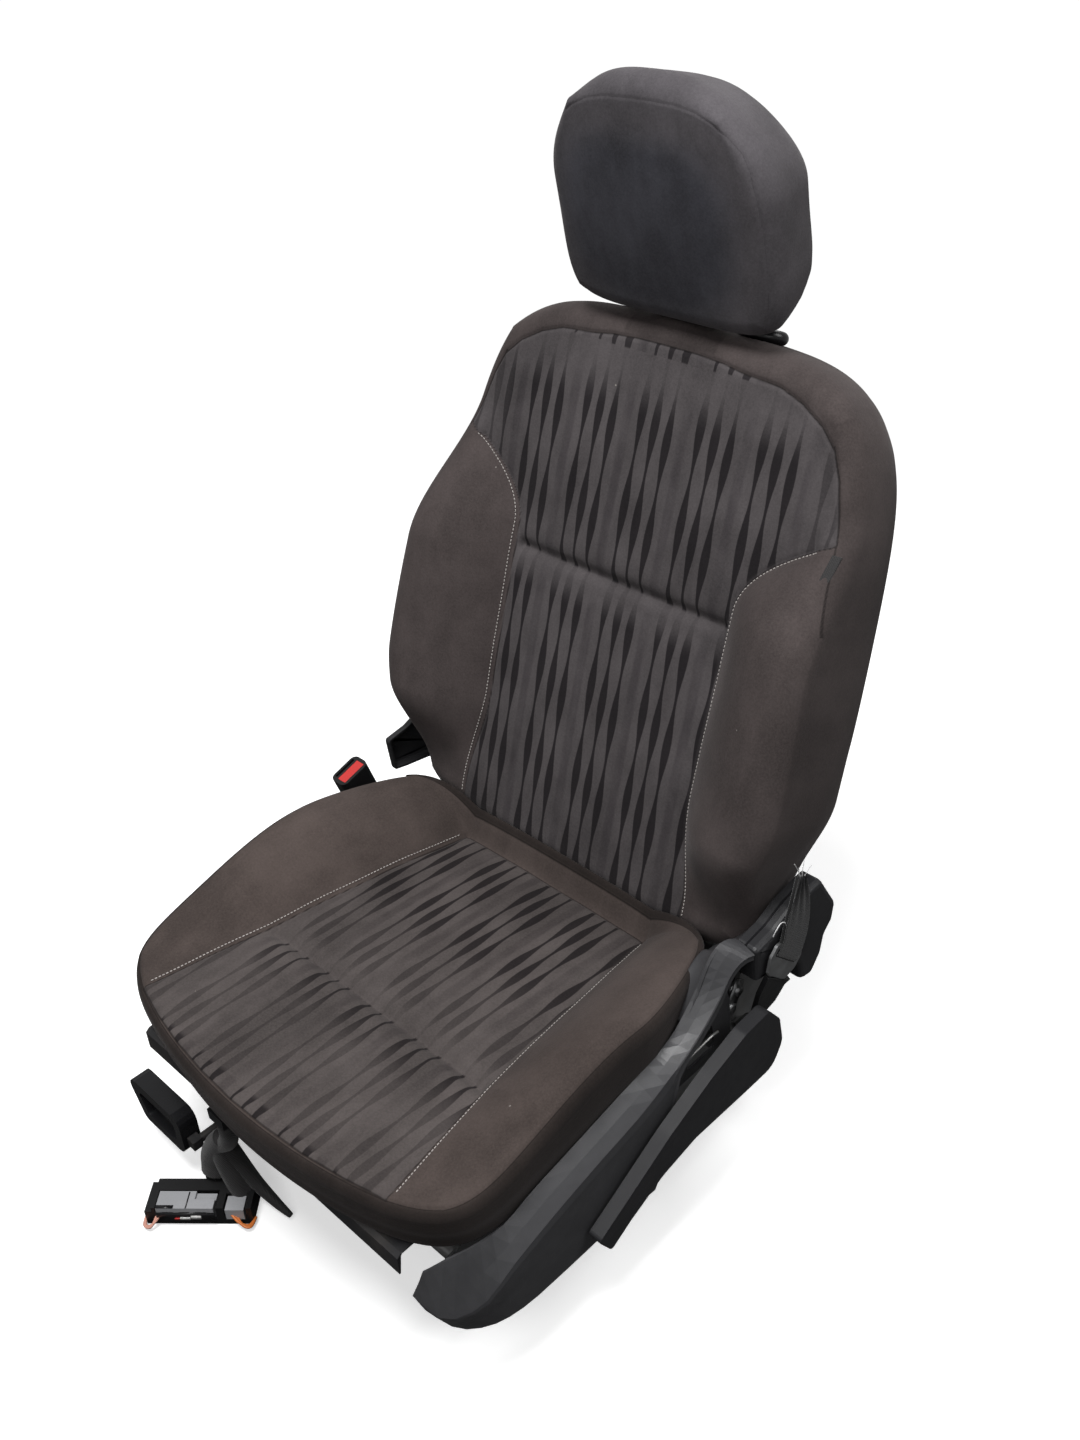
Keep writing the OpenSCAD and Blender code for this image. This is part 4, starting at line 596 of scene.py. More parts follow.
def finish_piece(obj, key, body, slot):
    obj.data.materials.append(material(key))
    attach(obj, body)
    return obj


# ================= pads, in millimetres =================


def edge_distance(u, v, half_w, half_h):
    """Distance of a place on a pad's face from the nearest edge, before the corners are rounded."""
    return np.minimum((1 - abs(u)) * half_w, (1 - abs(v)) * half_h)


def edge_values(*fields):
    """The values of each grid at its edge points, in order round it."""
    rows, cols = fields[0].shape
    loop = grid_loop(cols, rows)
    return [field.ravel()[loop] for field in fields]


def pad_marks(across, along, strength, panel, seam, darker):
    """A cover's attributes: lay is the place on the face and the weave's strength (on the head restraint painted
    sheen over the face), seams the distance past the panel's outline, the distance from the nearest seam and how much
    darker the cloth is drawn: painted shade down the cushion's sides below the welt, and on the backrest darker past
    its side seams, round its sides and in a strip between the posts."""
    return {"lay": np.stack([across * MM, along * MM, strength], -1),
            "seams": np.stack([panel * MM, seam * MM, darker], -1)}


CUSHION_W, CUSHION_FRONT, CUSHION_REAR, CUSHION_LOW = 528, -352, 113, 185
CUSHION_MID, CUSHION_HALF = (CUSHION_FRONT + CUSHION_REAR) / 2, (CUSHION_REAR - CUSHION_FRONT) / 2
GROOVE_Y = -171
CUSHION_CORNERS = 8
CUSHION_EDGE, WELT_IN = 15, 7  # radius of the edge, distance of the welt from it
CUSHION_BOLSTER, CREST_IN = 56, 16
FRONT_BOW = 52
PIVOT_Y, PIVOT_Z, SWING_R, SWING_TOP = 200, 235, 92.8, 295
SEAM_GROOVE = 1.8, 2.2  # depth, width
UV_ROUNDS = 24
# rings down the sides: inset, share of the height that is left
CUSHION_RINGS = [(0.9, 0.93), (1.6, 0.86), (2.1, 0.72), (4.0, 0.58), (6.8, 0.45), (8.8, 0.32), (10, 0.2), (11, 0.08),
                 (12.4, 0.02), (14, 0)]
CUSHION_FRONT_SEAM = [(-193, -316), (-150, -327), (-100, -336), (-50, -341), (0, -343), (50, -341), (100, -336),
                      (150, -327), (193, -316)]


def mirrored(points):
    """The other half of an outline, from its end back to its start."""
    return [(-x, y) for x, y in points[::-1]]


def cushion_half_w(y):
    return CUSHION_W / 2 - 28 * ease((y + 60) / 167)


def cushion_seam_x(y):
    return 137 + 0.1174 * (93 - y) + 0.055 * np.maximum(0, -171 - y)


def cushion_panel_z(y):
    """Height of the sewn panel: an exponential dip towards the rear, then the rise of the rear band."""
    return 230 + 22.5 * (1 - np.exp(-np.maximum(0, 93 - y) / 150)) + 37 * ease((y - 93) / 20)


def cushion_top(x, y):
    """Panel, with a quadratic rise over the bolster from the seam to its crest."""
    seam, crest = cushion_seam_x(y), cushion_half_w(y) - CREST_IN
    q = (abs(x) - seam) / (crest - seam)
    out = np.clip(q, 0, 1)
    low = cushion_panel_z(np.minimum(y, 93)) + CUSHION_BOLSTER * ease((y + 320) / 260)
    p = cushion_panel_z(y)
    return np.where(q <= 0, p + 3 * (1 - (x / seam) ** 2), p + (low - p) * (1 - (1 - out) ** 2))


def cushion_xy(u, v, inset=0.0):
    """Place of u, v on the cushion's face seen from above; the front edge draws back with the square of x."""
    f = pull_in(u, v, CUSHION_CORNERS)
    vv = v * f
    y0 = CUSHION_MID + (CUSHION_HALF - inset) * vv
    x = u * f * (cushion_half_w(y0) - inset)
    return x, y0 + front_bow(x, vv)


def front_bow(x, v):
    return FRONT_BOW * (x / (CUSHION_W / 2)) ** 2 * ((1 - v) / 2) ** 2


def cushion_outline():
    """Outline of the striped panel: its front seam, both side seams and its rear seam, as seen from above."""
    side = [(float(cushion_seam_x(y)), y) for y in np.linspace(-310, 92, 22)]
    return CUSHION_FRONT_SEAM + side + mirrored(side)


def behind_swing(p):
    """Keeps the cushion's rear clear of the arc that the backrest swings through."""
    up = np.maximum(0, np.minimum(p[..., 2], SWING_TOP) - PIVOT_Z)
    reach = PIVOT_Y - np.sqrt(SWING_R**2 - up**2)
    return np.stack([p[..., 0], np.minimum(p[..., 1], reach), p[..., 2]], -1)


def crease(d, depth, width):
    """A valley with rounded lips: depth times the bell curve of the distance over the width."""
    return depth * np.exp(-((d / width) ** 2))


def cushion_uv(x, y):
    """The u and v of a place on the cushion's face, found by repeating the inverse of cushion_xy."""
    u, v = x / (CUSHION_W / 2), (y - CUSHION_MID) / CUSHION_HALF
    for _ in range(UV_ROUNDS):
        f = pull_in(u, v, CUSHION_CORNERS)
        y0 = y - front_bow(x, v * f)
        u, v = x / (f * cushion_half_w(y0)), (y0 - CUSHION_MID) / (CUSHION_HALF * f)
    return u, v


def cushion_face(u, v):
    """Points of the cushion's face, with their distances from the panel's seam and from the welt."""
    x, y = cushion_xy(u, v)
    d = edge_distance(u, v, CUSHION_W / 2, CUSHION_HALF)
    rear = np.where(v > 0.9, 0.4, 1)
    panel = signed_distance(x, y, cushion_outline())
    z = cushion_top(x, y)
    fade = ease((d - 4) / 16)
    z = z - crease(panel, *SEAM_GROOVE) * fade - crease(np.abs(x) - cushion_seam_x(y), 1.6, 3.0) * (y > 90) * fade
    lip = ease((200 - abs(x)) / 40)
    gap = y - GROOVE_Y
    groove = crease(gap, 5.0, 7.0) + crease(np.where(gap > 0, gap, gap * 1.8), 3.0, 22)
    z = z - groove * (panel < 0) * ease(-panel / 6)
    z = z + 1.5 * ease(-panel / 45) * (panel < 0) * lip
    z = z - rear * edge_roll(d, CUSHION_EDGE)
    welt = d - WELT_IN
    z = z - crease(welt, 1.4, 1.6)
    waves = 0.5 * np.sin(x / 31 + 1.3 * np.sin(y / 47)) * np.cos(y / 37 + 0.7) + 0.3 * np.sin(x / 13.7 + y / 21)
    z = z + waves * fade
    return behind_swing(np.stack([x, y, z], -1)), panel, welt


def make_cushion():
    """The cushion's cover: its face, then sides that draw in and end in a flat underside."""
    u, v = np.meshgrid(spread(281), spread(261))
    top, panel, welt = cushion_face(u, v)
    x, y = cushion_xy(u, v)
    lu, lv, lz = edge_values(u, v, top[..., 2])
    rings = []
    for inset, share in CUSHION_RINGS:
        rx, ry = cushion_xy(lu, lv, inset)
        rings.append(behind_swing(np.stack([rx, ry, CUSHION_LOW + (lz - CUSHION_LOW) * share], -1)))
    strength = ease(-panel / 8 + 0.4) * (0.55 + 0.45 * ease((y + 120) / 90)) * (y > GROOVE_Y)
    front = (y <= GROOVE_Y) * (0.42 + 0.58 * ease((y - GROOVE_Y + 60) / 50))
    strength = strength + front + 0.7 * ease((-323 - y) / 9)
    strength = np.clip(strength * (1 - 0.75 * ease((-136 - y) / 30) * (y > GROOVE_Y)), 0, 1)
    seam = np.minimum(abs(panel), abs(welt) * 1.6)
    # The last mark is painted shade: below the welt, down the sides and underneath, the cloth is drawn darker.
    marks = pad_marks(x, y, strength, panel, seam, ease(0.5 - welt / 1.5))
    return closed_pad("Cushion_cover", top, rings, (0, CUSHION_MID, CUSHION_LOW), marks)


PAD_W, PAD_LOW, PAD_H, PAD_BACK = 554, -36, 612, 97
PAD_MID = PAD_LOW + PAD_H / 2
GROOVE_S = 305
PAD_CORNERS = 7.5, 4.3  # exponents below and above the middle
PAD_EDGE, PAD_THICK, PAD_BOLSTER = 30, 28, 62
CROWN_HALF_W, CROWN_RISE = 58, 8
HOLLOW_HALF_W, HOLLOW_MID, HOLLOW_HALF_H = 222, 282.5, 258.5
# rings round the sides: depth, inset, narrowing low down
PAD_RINGS = [(16, 0.0, 1), (30, 1.0, 3), (46, 5.6, 5), (62, 11.6, 6), (76, 17.0, 7), (88, 22.4, 8), (94, 25.0, 8),
             (PAD_BACK, 27.6, 8)]
TOP_SEAM = [(0, 549), (35, 549), (70, 547), (96, 543), (138, 540), (166, 531), (193, 516), (212, 498), (223, 475),
            (232, 445), (240, 418)]


def pad_half_w(s):
    return PAD_W / 2 - 18 * (1 - ease((s - 60) / 90)) - 23 * ease((s - 150) / 350)


def panel_out(s):
    return 0.1054 * s - 0.000066 * s * s


def pad_seam_x(s):
    return 147 + 18 * (1 - ease(s / 130)) + 100 * np.maximum(0, (s - 325) / 95) ** 2


def pad_out(x, s):
    """How far the face stands forward: the panel's parabola and, past the seam, the bolster's quadratic rise."""
    w = pad_half_w(s)
    seam = np.minimum(pad_seam_x(s), w - 40)
    out = np.clip((abs(x) - seam) / (w - 28 - seam), 0, 1)
    rise = PAD_BOLSTER * ease((s - 4) / 104) * (1 - ease((s - 280) / 170))
    return panel_out(s) + rise * (1 - (1 - out) ** 2)


def pad_xs(u, v, inset=0.0, narrow=0.0):
    """Place of u, v across and along the backrest."""
    f = pull_in(u, v, np.where(v < 0, *PAD_CORNERS))
    s = PAD_MID + (PAD_H / 2 - inset) * v * f
    return u * f * (pad_half_w(s) - inset - narrow * (1 - ease((s - 40) / 180))), s


def backrest_outline():
    """Outline of the striped panel: the bolster seams from the bottom up, and the arched top seam."""
    heights = np.concatenate([np.linspace(-60, 325, 26), np.linspace(333, 415, 12)])
    right = [(float(pad_seam_x(s)), s) for s in heights] + TOP_SEAM[::-1]
    return right + mirrored(right)


def backrest_uv(x, s):
    """The u and v of a place on the backrest's face, found by repeating the inverse of pad_xs."""
    u, v = x / (PAD_W / 2), (s - PAD_MID) / (PAD_H / 2)
    for _ in range(UV_ROUNDS):
        f = pull_in(u, v, np.where(v < 0, *PAD_CORNERS))
        u, v = x / (f * pad_half_w(s)), (s - PAD_MID) / (f * PAD_H / 2)
    return u, v


def backrest_face(u, v):
    """Points of the backrest's face, with their distances from the panel's seam."""
    x, s = pad_xs(u, v)
    d = edge_distance(u, v, PAD_W / 2, PAD_H / 2)
    panel = signed_distance(x, s, backrest_outline())
    gap = s - GROOVE_S
    fade = ease((d - 6) / 16)
    out = pad_out(x, s)
    out = out - crease(panel, *SEAM_GROOVE) * fade
    inside = (panel < 0) * ease(-panel / 7)
    out = out - (crease(gap, 6.0, 6.5) + crease(np.where(gap < 0, gap, gap * 1.7), 3.5, 24)) * inside
    out = out + 2.0 * ease(-panel / 50) * (panel < 0)
    waves = 0.5 * np.sin(x / 29 + 1.1 * np.sin(s / 53)) * np.cos(s / 41 + 0.4) + 0.3 * np.sin(x / 15.3 - s / 23)
    out = out + waves * fade
    return np.stack([x, -out + edge_roll(d, PAD_EDGE), s + top_crown(x, s)], -1), panel


def top_crown(x, s):
    """Rise of the padding between the head restraint's posts: a squared parabola across, easing in upwards."""
    return CROWN_RISE * np.maximum(0, 1 - (x / CROWN_HALF_W) ** 2) ** 2 * ease((s - 545) / 30)


SIDE_SEAM_S = [330, 336, 380, 410, 440, 475, 503, 512]
SIDE_SEAM_X = [300, 263, 250, 242, 234, 224, 210, 300]


def make_backrest():
    """The backrest's cover: its face, its sides, and a back that turns in to a hollow behind the face."""
    u, v = np.meshgrid(spread(281), spread(301))
    top, panel = backrest_face(u, v)
    x, s = top[..., 0], top[..., 2]
    lu, lv, edge_y = edge_values(u, v, top[..., 1])
    rings = []
    for depth, inset, narrow in PAD_RINGS:
        rx, rs = pad_xs(lu, lv, inset, narrow)
        rx = rx + np.sign(lu) * 0.5 * inset * (1 - ease((rs - 60) / 150)) * ease((abs(rx) - 120) / 60)
        crown = top_crown(rx, rs) * (1 - ease((depth - 62) / 35))
        rings.append(np.stack([rx, np.maximum(depth, edge_y + 0.06 * depth), rs + crown], -1))
    f = pull_in(lu, lv, PAD_CORNERS[1])
    hollow_x, hollow_s = lu * f * HOLLOW_HALF_W, HOLLOW_MID + HOLLOW_HALF_H * lv * f
    for y in (np.full_like(hollow_x, PAD_BACK), PAD_THICK - panel_out(hollow_s)):
        rings.append(np.stack([hollow_x, y, hollow_s], -1))
    band = 1 - 0.9 * ease((s - 475) / 50)
    strength = ease(-panel / 8 + 0.4) * band * (1 - 0.8 * ease((s - 262) / 34) * (s < GROOVE_S))
    strength = strength * (1 - 0.5 * ease((abs(x) - 175) / 40)) * ease((s - PAD_LOW - 3) / 14)
    dash = (s > 538) * (abs(x) < 120) * 0.9
    past = abs(x) - np.interp(s, SIDE_SEAM_S, SIDE_SEAM_X)
    edge = ease(0.5 - (edge_distance(u, v, PAD_W / 2, PAD_H / 2) - 1.5) / 1.5) * (s < 520)
    side = 0.26 * np.maximum(ease(past / 1.5 + 0.5), edge) * (1 - 0.7 * ease((s - 370) / 70))
    tuck = 0.4 * ease(0.5 + (CROWN_HALF_W - abs(x)) / 2) * ease((s - 552) / 2)
    seam = np.minimum(np.abs(panel), np.abs(past) + (s < 338) * 9)
    marks = pad_marks(x, s, np.maximum(strength, dash), panel, seam, np.maximum(side, tuck))
    last = in_backrest(np.array([0.0, PAD_THICK - panel_out(282), 282.0]))
    return closed_pad("Backrest_cover", in_backrest(top), [in_backrest(r) for r in rings], last, marks)


HEAD_W, HEAD_H, HEAD_D = 266, 230, 106
HEAD_CORNERS = 5.5, 2.6  # exponents below and above the middle
HEAD_CROWN, HEAD_EDGE = 10, 21
# rings round the sides: depth, inset, fall of the upper edge
HEAD_RINGS = [(-12, 1.6, 2.6), (0, 4.0, 6), (10, 6.0, 7.6), (20, 9.0, 9), (30, 12.8, 10.6), (38, 18.0, 12),
              (46, 26.0, 15), (51, 36.0, 18)]
HEAD_SEAM = [(17, 97), (40, 96), (63, 92), (80, 85), (95, 75), (107, 61), (114, 47), (120, 22), (123, -3), (124, -57),
             (121, -84), (114, -101), (60, -106)]


def head_half_w(v):
    return HEAD_W / 2 * (1 - 0.17 * ease((v - 0.1) / 0.9)) + 3 * ease((-0.1 - v) / 0.8)


def head_xz(u, v, inset=0.0):
    """Place of u, v across and up the head restraint."""
    f = pull_in(u, v, np.where(v < 0, *HEAD_CORNERS))
    vv = v * f
    return u * f * (head_half_w(vv) - inset), (HEAD_H / 2 - inset) * vv


def head_sag(z):
    return 5 * ease(-z / 60 - 0.9)


def make_head_restraint():
    """The head restraint's cover: a face crowned by a parabola each way, and sides that round in to its back."""
    u, v = np.meshgrid(spread(181), spread(181))
    x, z = head_xz(u, v)
    d = edge_distance(u, v, HEAD_W / 2, HEAD_H / 2)
    crown = HEAD_CROWN * (1 - (2 * x / HEAD_W) ** 2) * (1 - (2 * z / HEAD_H) ** 2)
    panel = signed_distance(x, z, HEAD_SEAM + mirrored(HEAD_SEAM))
    off_middle = ((np.abs(x + 10) / 118) ** 3 + (np.abs(z + 18) / 96) ** 3) ** (1 / 3)
    y = -HEAD_D / 2 - crown + HEAD_CROWN + edge_roll(d, HEAD_EDGE) + crease(panel, 0.5, 1.3)
    top = np.stack([x, y, z - head_sag(z)], -1)
    lu, lv = edge_values(u, v)
    rings = []
    for depth, inset, fall in HEAD_RINGS:
        rx, rz = head_xz(lu, lv, inset)
        rz = rz - fall * ease(2 * rz / HEAD_H) - head_sag(rz) * ease((30 - depth) / 30)
        rings.append(np.stack([rx, np.full_like(rx, depth), rz], -1))
    # The weave's strength here is painted sheen: 1 over the middle of the face, drawn darker, fading out to the lighter
    # rim.
    marks = pad_marks(x, z, 1 - ease((off_middle - 0.66) / 0.4), panel, np.abs(panel) + 0.7, 0 * d)
    last = in_head(np.array([0, HEAD_D / 2, 0.0]))
    return closed_pad("Head_restraint_cover", in_head(top), [in_head(r) for r in rings], last, marks)


UV_STEP = 0.004


def on_face(face, inverse, line):
    """Points and normals of a pad's face along a line of its flat coordinates, by small steps across it."""
    line = np.asarray(line, float)
    u, v = inverse(line[:, 0], line[:, 1])
    at, step_u, step_v = face(u, v)[0], face(u + UV_STEP, v)[0], face(u, v + UV_STEP)[0]
    return at, unit(np.cross(step_u - at, step_v - at))


def slab(name, top, low):
    """A thin closed sheet: the grid of its face, the grid of its back, and the walls between their edges."""
    nv, nu = top.shape[:2]
    loop, n = grid_loop(nu, nv), nu * nv
    faces = grid_faces(nv, nu) + [f[::-1] for f in grid_faces(nv, nu, base=n)]
    faces += np.stack([np.roll(loop, -1), loop, loop + n, np.roll(loop, -1) + n], -1).tolist()
    return outward(new_object(name, np.concatenate([top.reshape(-1, 3), low.reshape(-1, 3)]), faces))


def rod(name, points, r, steps=40, sides=10, taper=None):
    """A round bar along a smooth curve through the points; taper gives its radius's factor from start to end."""
    path = smooth_curve(points, steps)
    ahead = np.gradient(path, axis=0)
    side = np.cross(ahead, [0.3, 0.2, 0.93])
    return swept(name, path, circle_profile(r, sides), side, scale=taper)


# ================= trim pieces =================

STRIP_EDGE = [(262, 12, 264), (262, 35, 291), (262, 55, 316), (262, 75, 318), (262, 90, 309), (262, 105, 311),
              (262, 120, 313), (262, 136, 320)]
STRIP_INNER = [(239, 12, 258), (237, 35, 282), (234, 55, 292), (230, 75, 290), (226, 90, 278), (217, 105, 264),
               (213, 120, 256), (217, 136, 252)]
SLIT_LINE = [(271.8, 89, 312.8), (271.8, 104, 315.4), (271.8, 119, 318), (271.8, 132, 323.4), (271.8, 146, 328.9),
             (271.8, 160, 331.6), (271.8, 173, 334), (271.8, 190, 335.4)]
SPRING_LINE = [(264, -20, 206), (268, 0, 214), (272, 18, 224), (274, 36, 229), (273, 48, 226)]


def make_side_strip():
    """Valance between shield, recliner cover and cushion: a ruled sheet between its two edges, sagging by a sine."""
    outer, inner = smooth_curve(STRIP_EDGE, 70), smooth_curve(STRIP_INNER, 70)
    q = np.linspace(0, 1, 18)[None, :, None]
    top = outer[:, None] * (1 - q) + inner[:, None] * q - np.sin(math.pi * q) * [0, 0, 5]
    return slab("Side_valance", top, top - [0, 0, 2.5])


def make_cover_slit():
    """The parting line on the outboard cover's top edge: a flat bar set a little into it."""
    bar = [(-1.2, -0.6), (1.2, -0.6), (1.2, 0.35), (-1.2, 0.35)]
    line = smooth_curve(SLIT_LINE, 50)
    return swept("Cover_parting_line", line, bar, np.tile([1.0, 0, 0], (50, 1)), smooth=False)


SLOT_CENTRE, SLOT_TURN, BELT_W = np.array([291.0, 132, 281]), math.radians(43.8), 46
WEB_LINE = [(0, 0), (0, 12), (-8, 28), (-22, 46), (-38, 64), (-54, 80)]
WEB_TURN = [0, 0, 15, 35, 42, 45]
WEB_SHARE = [1, 1, 0.96, 0.78, 0.5, 0.2]
WEB_HALF, WEB_PLEAT = 0.55, 2.6  # half the thickness, depth of the pleats


def in_slot(x, p, q):
    """From the belt slot's own plane to the seat's frame."""
    c, s = math.cos(SLOT_TURN), math.sin(SLOT_TURN)
    return SLOT_CENTRE + np.stack([x, p * c + q * s, q * c - p * s], -1)


def make_webbing():
    """Belt end folded round the slot's bar. Above it the strap narrows to a torn tip in pleats that follow a cosine."""
    k = [5, 4, 3, 2, 1, 0, 0, 0, 0, 1, 2, 3, 4, 5]
    line = np.array([WEB_LINE[i] for i in k], float)
    line[6:8, 1] = -2.4
    xs = np.array([2.4 - 0.3 * i for i in k[:6]] + [1.5, -1.5] + [0.3 * i - 2.4 for i in k[8:]])
    table = np.stack([xs, line[:, 0], line[:, 1], [WEB_TURN[i] for i in k], [WEB_SHARE[i] for i in k]], -1)
    x, p, q, turn, share = smooth_curve(table, 150).T
    mid = in_slot(x, p, q)
    angle = SLOT_TURN - np.radians(turn)
    across = np.stack([0 * x, np.cos(angle), -np.sin(angle)], -1)
    ahead = unit(np.gradient(mid, axis=0))
    out = unit(np.cross(across, ahead))
    c = np.linspace(-1, 1, 49)[None, :, None]
    pleat = np.cos(3 * math.pi * c + 0.4) * WEB_PLEAT * np.maximum(1 - share, 0)[:, None, None] ** 1.3
    width = BELT_W / 2 * share[:, None, None] * c
    body = mid[:, None] + width * across[:, None] + pleat * out[:, None]
    obj = slab("Belt_webbing", body + WEB_HALF * out[:, None], body - WEB_HALF * out[:, None])
    length = float(np.sum(np.linalg.norm(np.diff(mid, axis=0), axis=1)))
    return obj, length, mid[0]


def make_fray(tip):
    """Loose ends of the webbing's stitching thread at the torn tip, and one loop of it lower down."""
    ends = [[(0, 0, -8), (0, -4, 4), (-2, -11, 20)], [(0, 1, -6), (1, -1, 6), (1, 1, 19)],
            [(0, 2, -6), (2, 6, 2), (3, 12, 8)], [(0, -1, -8), (-1, -3, 0), (0, -6, 13)]]
    bits = [rod("Fray", np.array(e, float) + tip, 0.55, 14, 6, np.linspace(1, 0.5, 14)) for e in ends]
    loop = [(288, 112, 318), (290, 114, 327), (290, 122, 331), (290, 130, 324), (288, 130, 314)]
    bits.append(rod("Fray", loop, 0.6, 24, 6))
    return joined("Webbing_loose_threads", bits)


def make_pocket_shade_sheet():
    """Painted shade: a black sheet between the side member and the recliner cover, bowed by a sine, that darkens the
    inside of the pocket.
    """
    t, q = np.meshgrid(np.linspace(0, 1, 30), np.linspace(0, 1, 20))
    y = 52 + 64 * t
    wall = np.stack([248 + 3 * np.sin(math.pi * t), y, 214 + (82 - 24 * t) * q], -1)
    return slab("Side_pocket_shade_sheet", wall, wall - [2, 0, 0])


def make_pocket_fixings():
    """A pressed bracket and two bolt heads low in the pocket between the shield and the lever."""
    bits = []
    for x, y, z, r in [(262, 86, 219, 7.5), (262, 98, 236, 6)]:
        for low, high, profile in ((12, 0, circle_profile(r, 6)), (13, 4, circle_profile(r * 1.5, 24))):
            line = [(x - low, y, z), (x - high, y, z)]
            bits.append(swept("Round", line, profile, [(0, 0, 1), (0, 0, 1)], smooth=False))
    line = [(256, 78, 204), (258, 86, 219), (258, 99, 238), (256, 104, 246)]
    bar = [(-9, -1.2), (9, -1.2), (9, 1.2), (-9, 1.2)]
    bits.append(swept("Bracket", line, bar, np.tile([0.0, 0.7, -0.7], (4, 1)), smooth=False))
    return joined("Pocket_fixings", bits)


POST_X, POST_BACK, COLLAR_Z = 78, 5, 580.8
# middle, half length, half breadth and thickness of each oval
COLLARS = [(POST_X, 20.0, 13.0, 6.8), (-POST_X, 9.6, 9.4, 3.2)]


def make_collars():
    """Fat rounded oval collars where the head restraint's posts enter the backrest."""
    a = np.arange(48) * math.pi / 24
    upward = turned(np.tile([0.0, 0, 1], (48, 1)), BACKREST_LEAN)
    bits = []
    for middle, long, short, r in COLLARS:
        path = np.stack([middle + long * np.cos(a), POST_BACK + short * np.sin(a), np.full(48, COLLAR_Z)], -1)
        bits.append(swept("Collar", in_backrest(path), circle_profile(r, 16), upward, wrap=True))
    return joined("Post_collars", bits)


def make_lift_spring():
    """The height adjuster's balance spring: a bent wire between the shield and the lever."""
    return rod("Lift_spring", SPRING_LINE, 1.5, 40, 10)


def box_piece(lo, hi):
    """A plain box between two corners in the connector block's frame."""
    (x0, y0, z0), (x1, y1, z1) = lo, hi
    square = [(x0, y0), (x1, y0), (x1, y1), (x0, y1)]
    points = np.array([(*xy, z) for z in (z0, z1) for xy in square], float)
    faces = [(3, 2, 1, 0), (4, 5, 6, 7), (0, 1, 5, 4), (1, 2, 6, 5), (2, 3, 7, 6), (3, 0, 4, 7)]
    return new_object("Box", in_block(points), faces, smooth=False)


# name, finish, corners of its boxes
PLUG_BOXES = [
    ("Plug_front", "black smooth", [((-44.8, -22.0, 9.2), (18.8, -21.1, 21.5)), ((-44, -21, 28.0), (-25, -17, 28.6)),
                                    ((-12, -21, 28.0), (-10.6, 0, 28.6))]),
    ("Plug_latches", "white plastic", [((-19, -22.9, 11.5), (-8, -21.9, 15.0)), ((-7, -22.9, 12.6), (4, -21.9, 17.6))]),
    ("Plug_red_latch", "red moulding", [((-25, -22.9, 11.5), (-19.5, -21.9, 14.0))]),
]


def make_plug_parts():
    """Dark front of the plug, its white and red latches, and the bundles of wire that turn back into its ends."""
    for name, key, corners in PLUG_BOXES:
        yield joined(name, [box_piece(lo, hi) for lo, hi in corners]), key
    ends = [("orange", 1.5, lambda k: [(35 + 3 * k, -18, 16 - 2 * k), (45 + 2 * k, -25 - k, 10 - k),
                                       (55 + k, -25 - k, 6), (60, -14, 5)]),
            ("pink", 1.4, lambda k: [(-40 - 3 * k, -18, 16 - 2 * k), (-49 - k, -26 - k, 8 - k),
                                     (-57 - k, -25, 5), (-60, -14, 5)])]
    for colour, r, route in ends:
        wires = [rod("Wire", in_block(np.array(route(k), float)), r, 26, 8) for k in range(3)]
        yield joined("Plug_wires_" + colour, wires), colour + " wire"


def make_loom_fleece():
    """Loose fleece round the loom above the block: three tapering strands that spread out downwards."""
    strands = [([(-92, -318, 100), (-108, -318, 76), (-118, -318, 52), (-118, -318, 34)], [11, 20]),
               ([(-104, -316, 84), (-92, -310, 58), (-72, -304, 30), (-46, -299, 13), (-26, -296, 6)], [13, 3]),
               ([(-104, -316, 84), (-100, -318, 60), (-88, -318, 36), (-78, -317, 16)], [13, 12])]
    rods = [rod("Strand", points, 1.0, 40, 20, np.linspace(*ends, 40)) for points, ends in strands]
    return joined("Loom_fleece", rods)


# ================= sewn lines =================


BACKREST_ROW, CUSHION_ROW = 3.4, 3.2  # distance of the stitches from the bolster seam


def make_backrest_stitches():
    """Two rows beside the backrest's bolster seams."""
    s = np.concatenate([np.linspace(-8, 325, 90), np.linspace(327, 408, 40)])
    rows = []
    for sign in (1, -1):
        line = np.stack([sign * (pad_seam_x(s) + BACKREST_ROW), s], -1)
        at, normal = on_face(backrest_face, backrest_uv, line)
        normal = normal * -np.sign(normal[:, 1:2])
        rows.append(stitch_row(in_backrest(at), turned(normal, BACKREST_LEAN)))
    return joined("Backrest_topstitch", rows)


def make_cushion_stitches():
    """Two rows beside the cushion's bolster seams."""
    y = np.linspace(-306, 84, 110)
    rows = []
    for sign in (1, -1):
        line = np.stack([sign * (cushion_seam_x(y) + CUSHION_ROW), y], -1)
        at, normal = on_face(cushion_face, cushion_uv, line)
        rows.append(stitch_row(at, normal * np.sign(normal[:, 2:])))
    return joined("Cushion_topstitch", rows)


# ================= operators =================


class CarSeatSizes(bpy.types.PropertyGroup):
    loom_diameter: bpy.props.FloatProperty(
        name="Loom diameter", description="Outer diameter of the taped loom",
        default=0.020, min=0.014, max=0.022, unit="LENGTH")
    stitch_pitch: bpy.props.FloatProperty(
        name="Stitch pitch", description="Distance from one stitch to the next",
        default=0.0042, min=0.002, max=0.008, unit="LENGTH")
    thread_width: bpy.props.FloatProperty(
        name="Thread width", description="Thickness of the topstitching thread",
        default=0.0012, min=0.0004, max=0.002, unit="LENGTH")


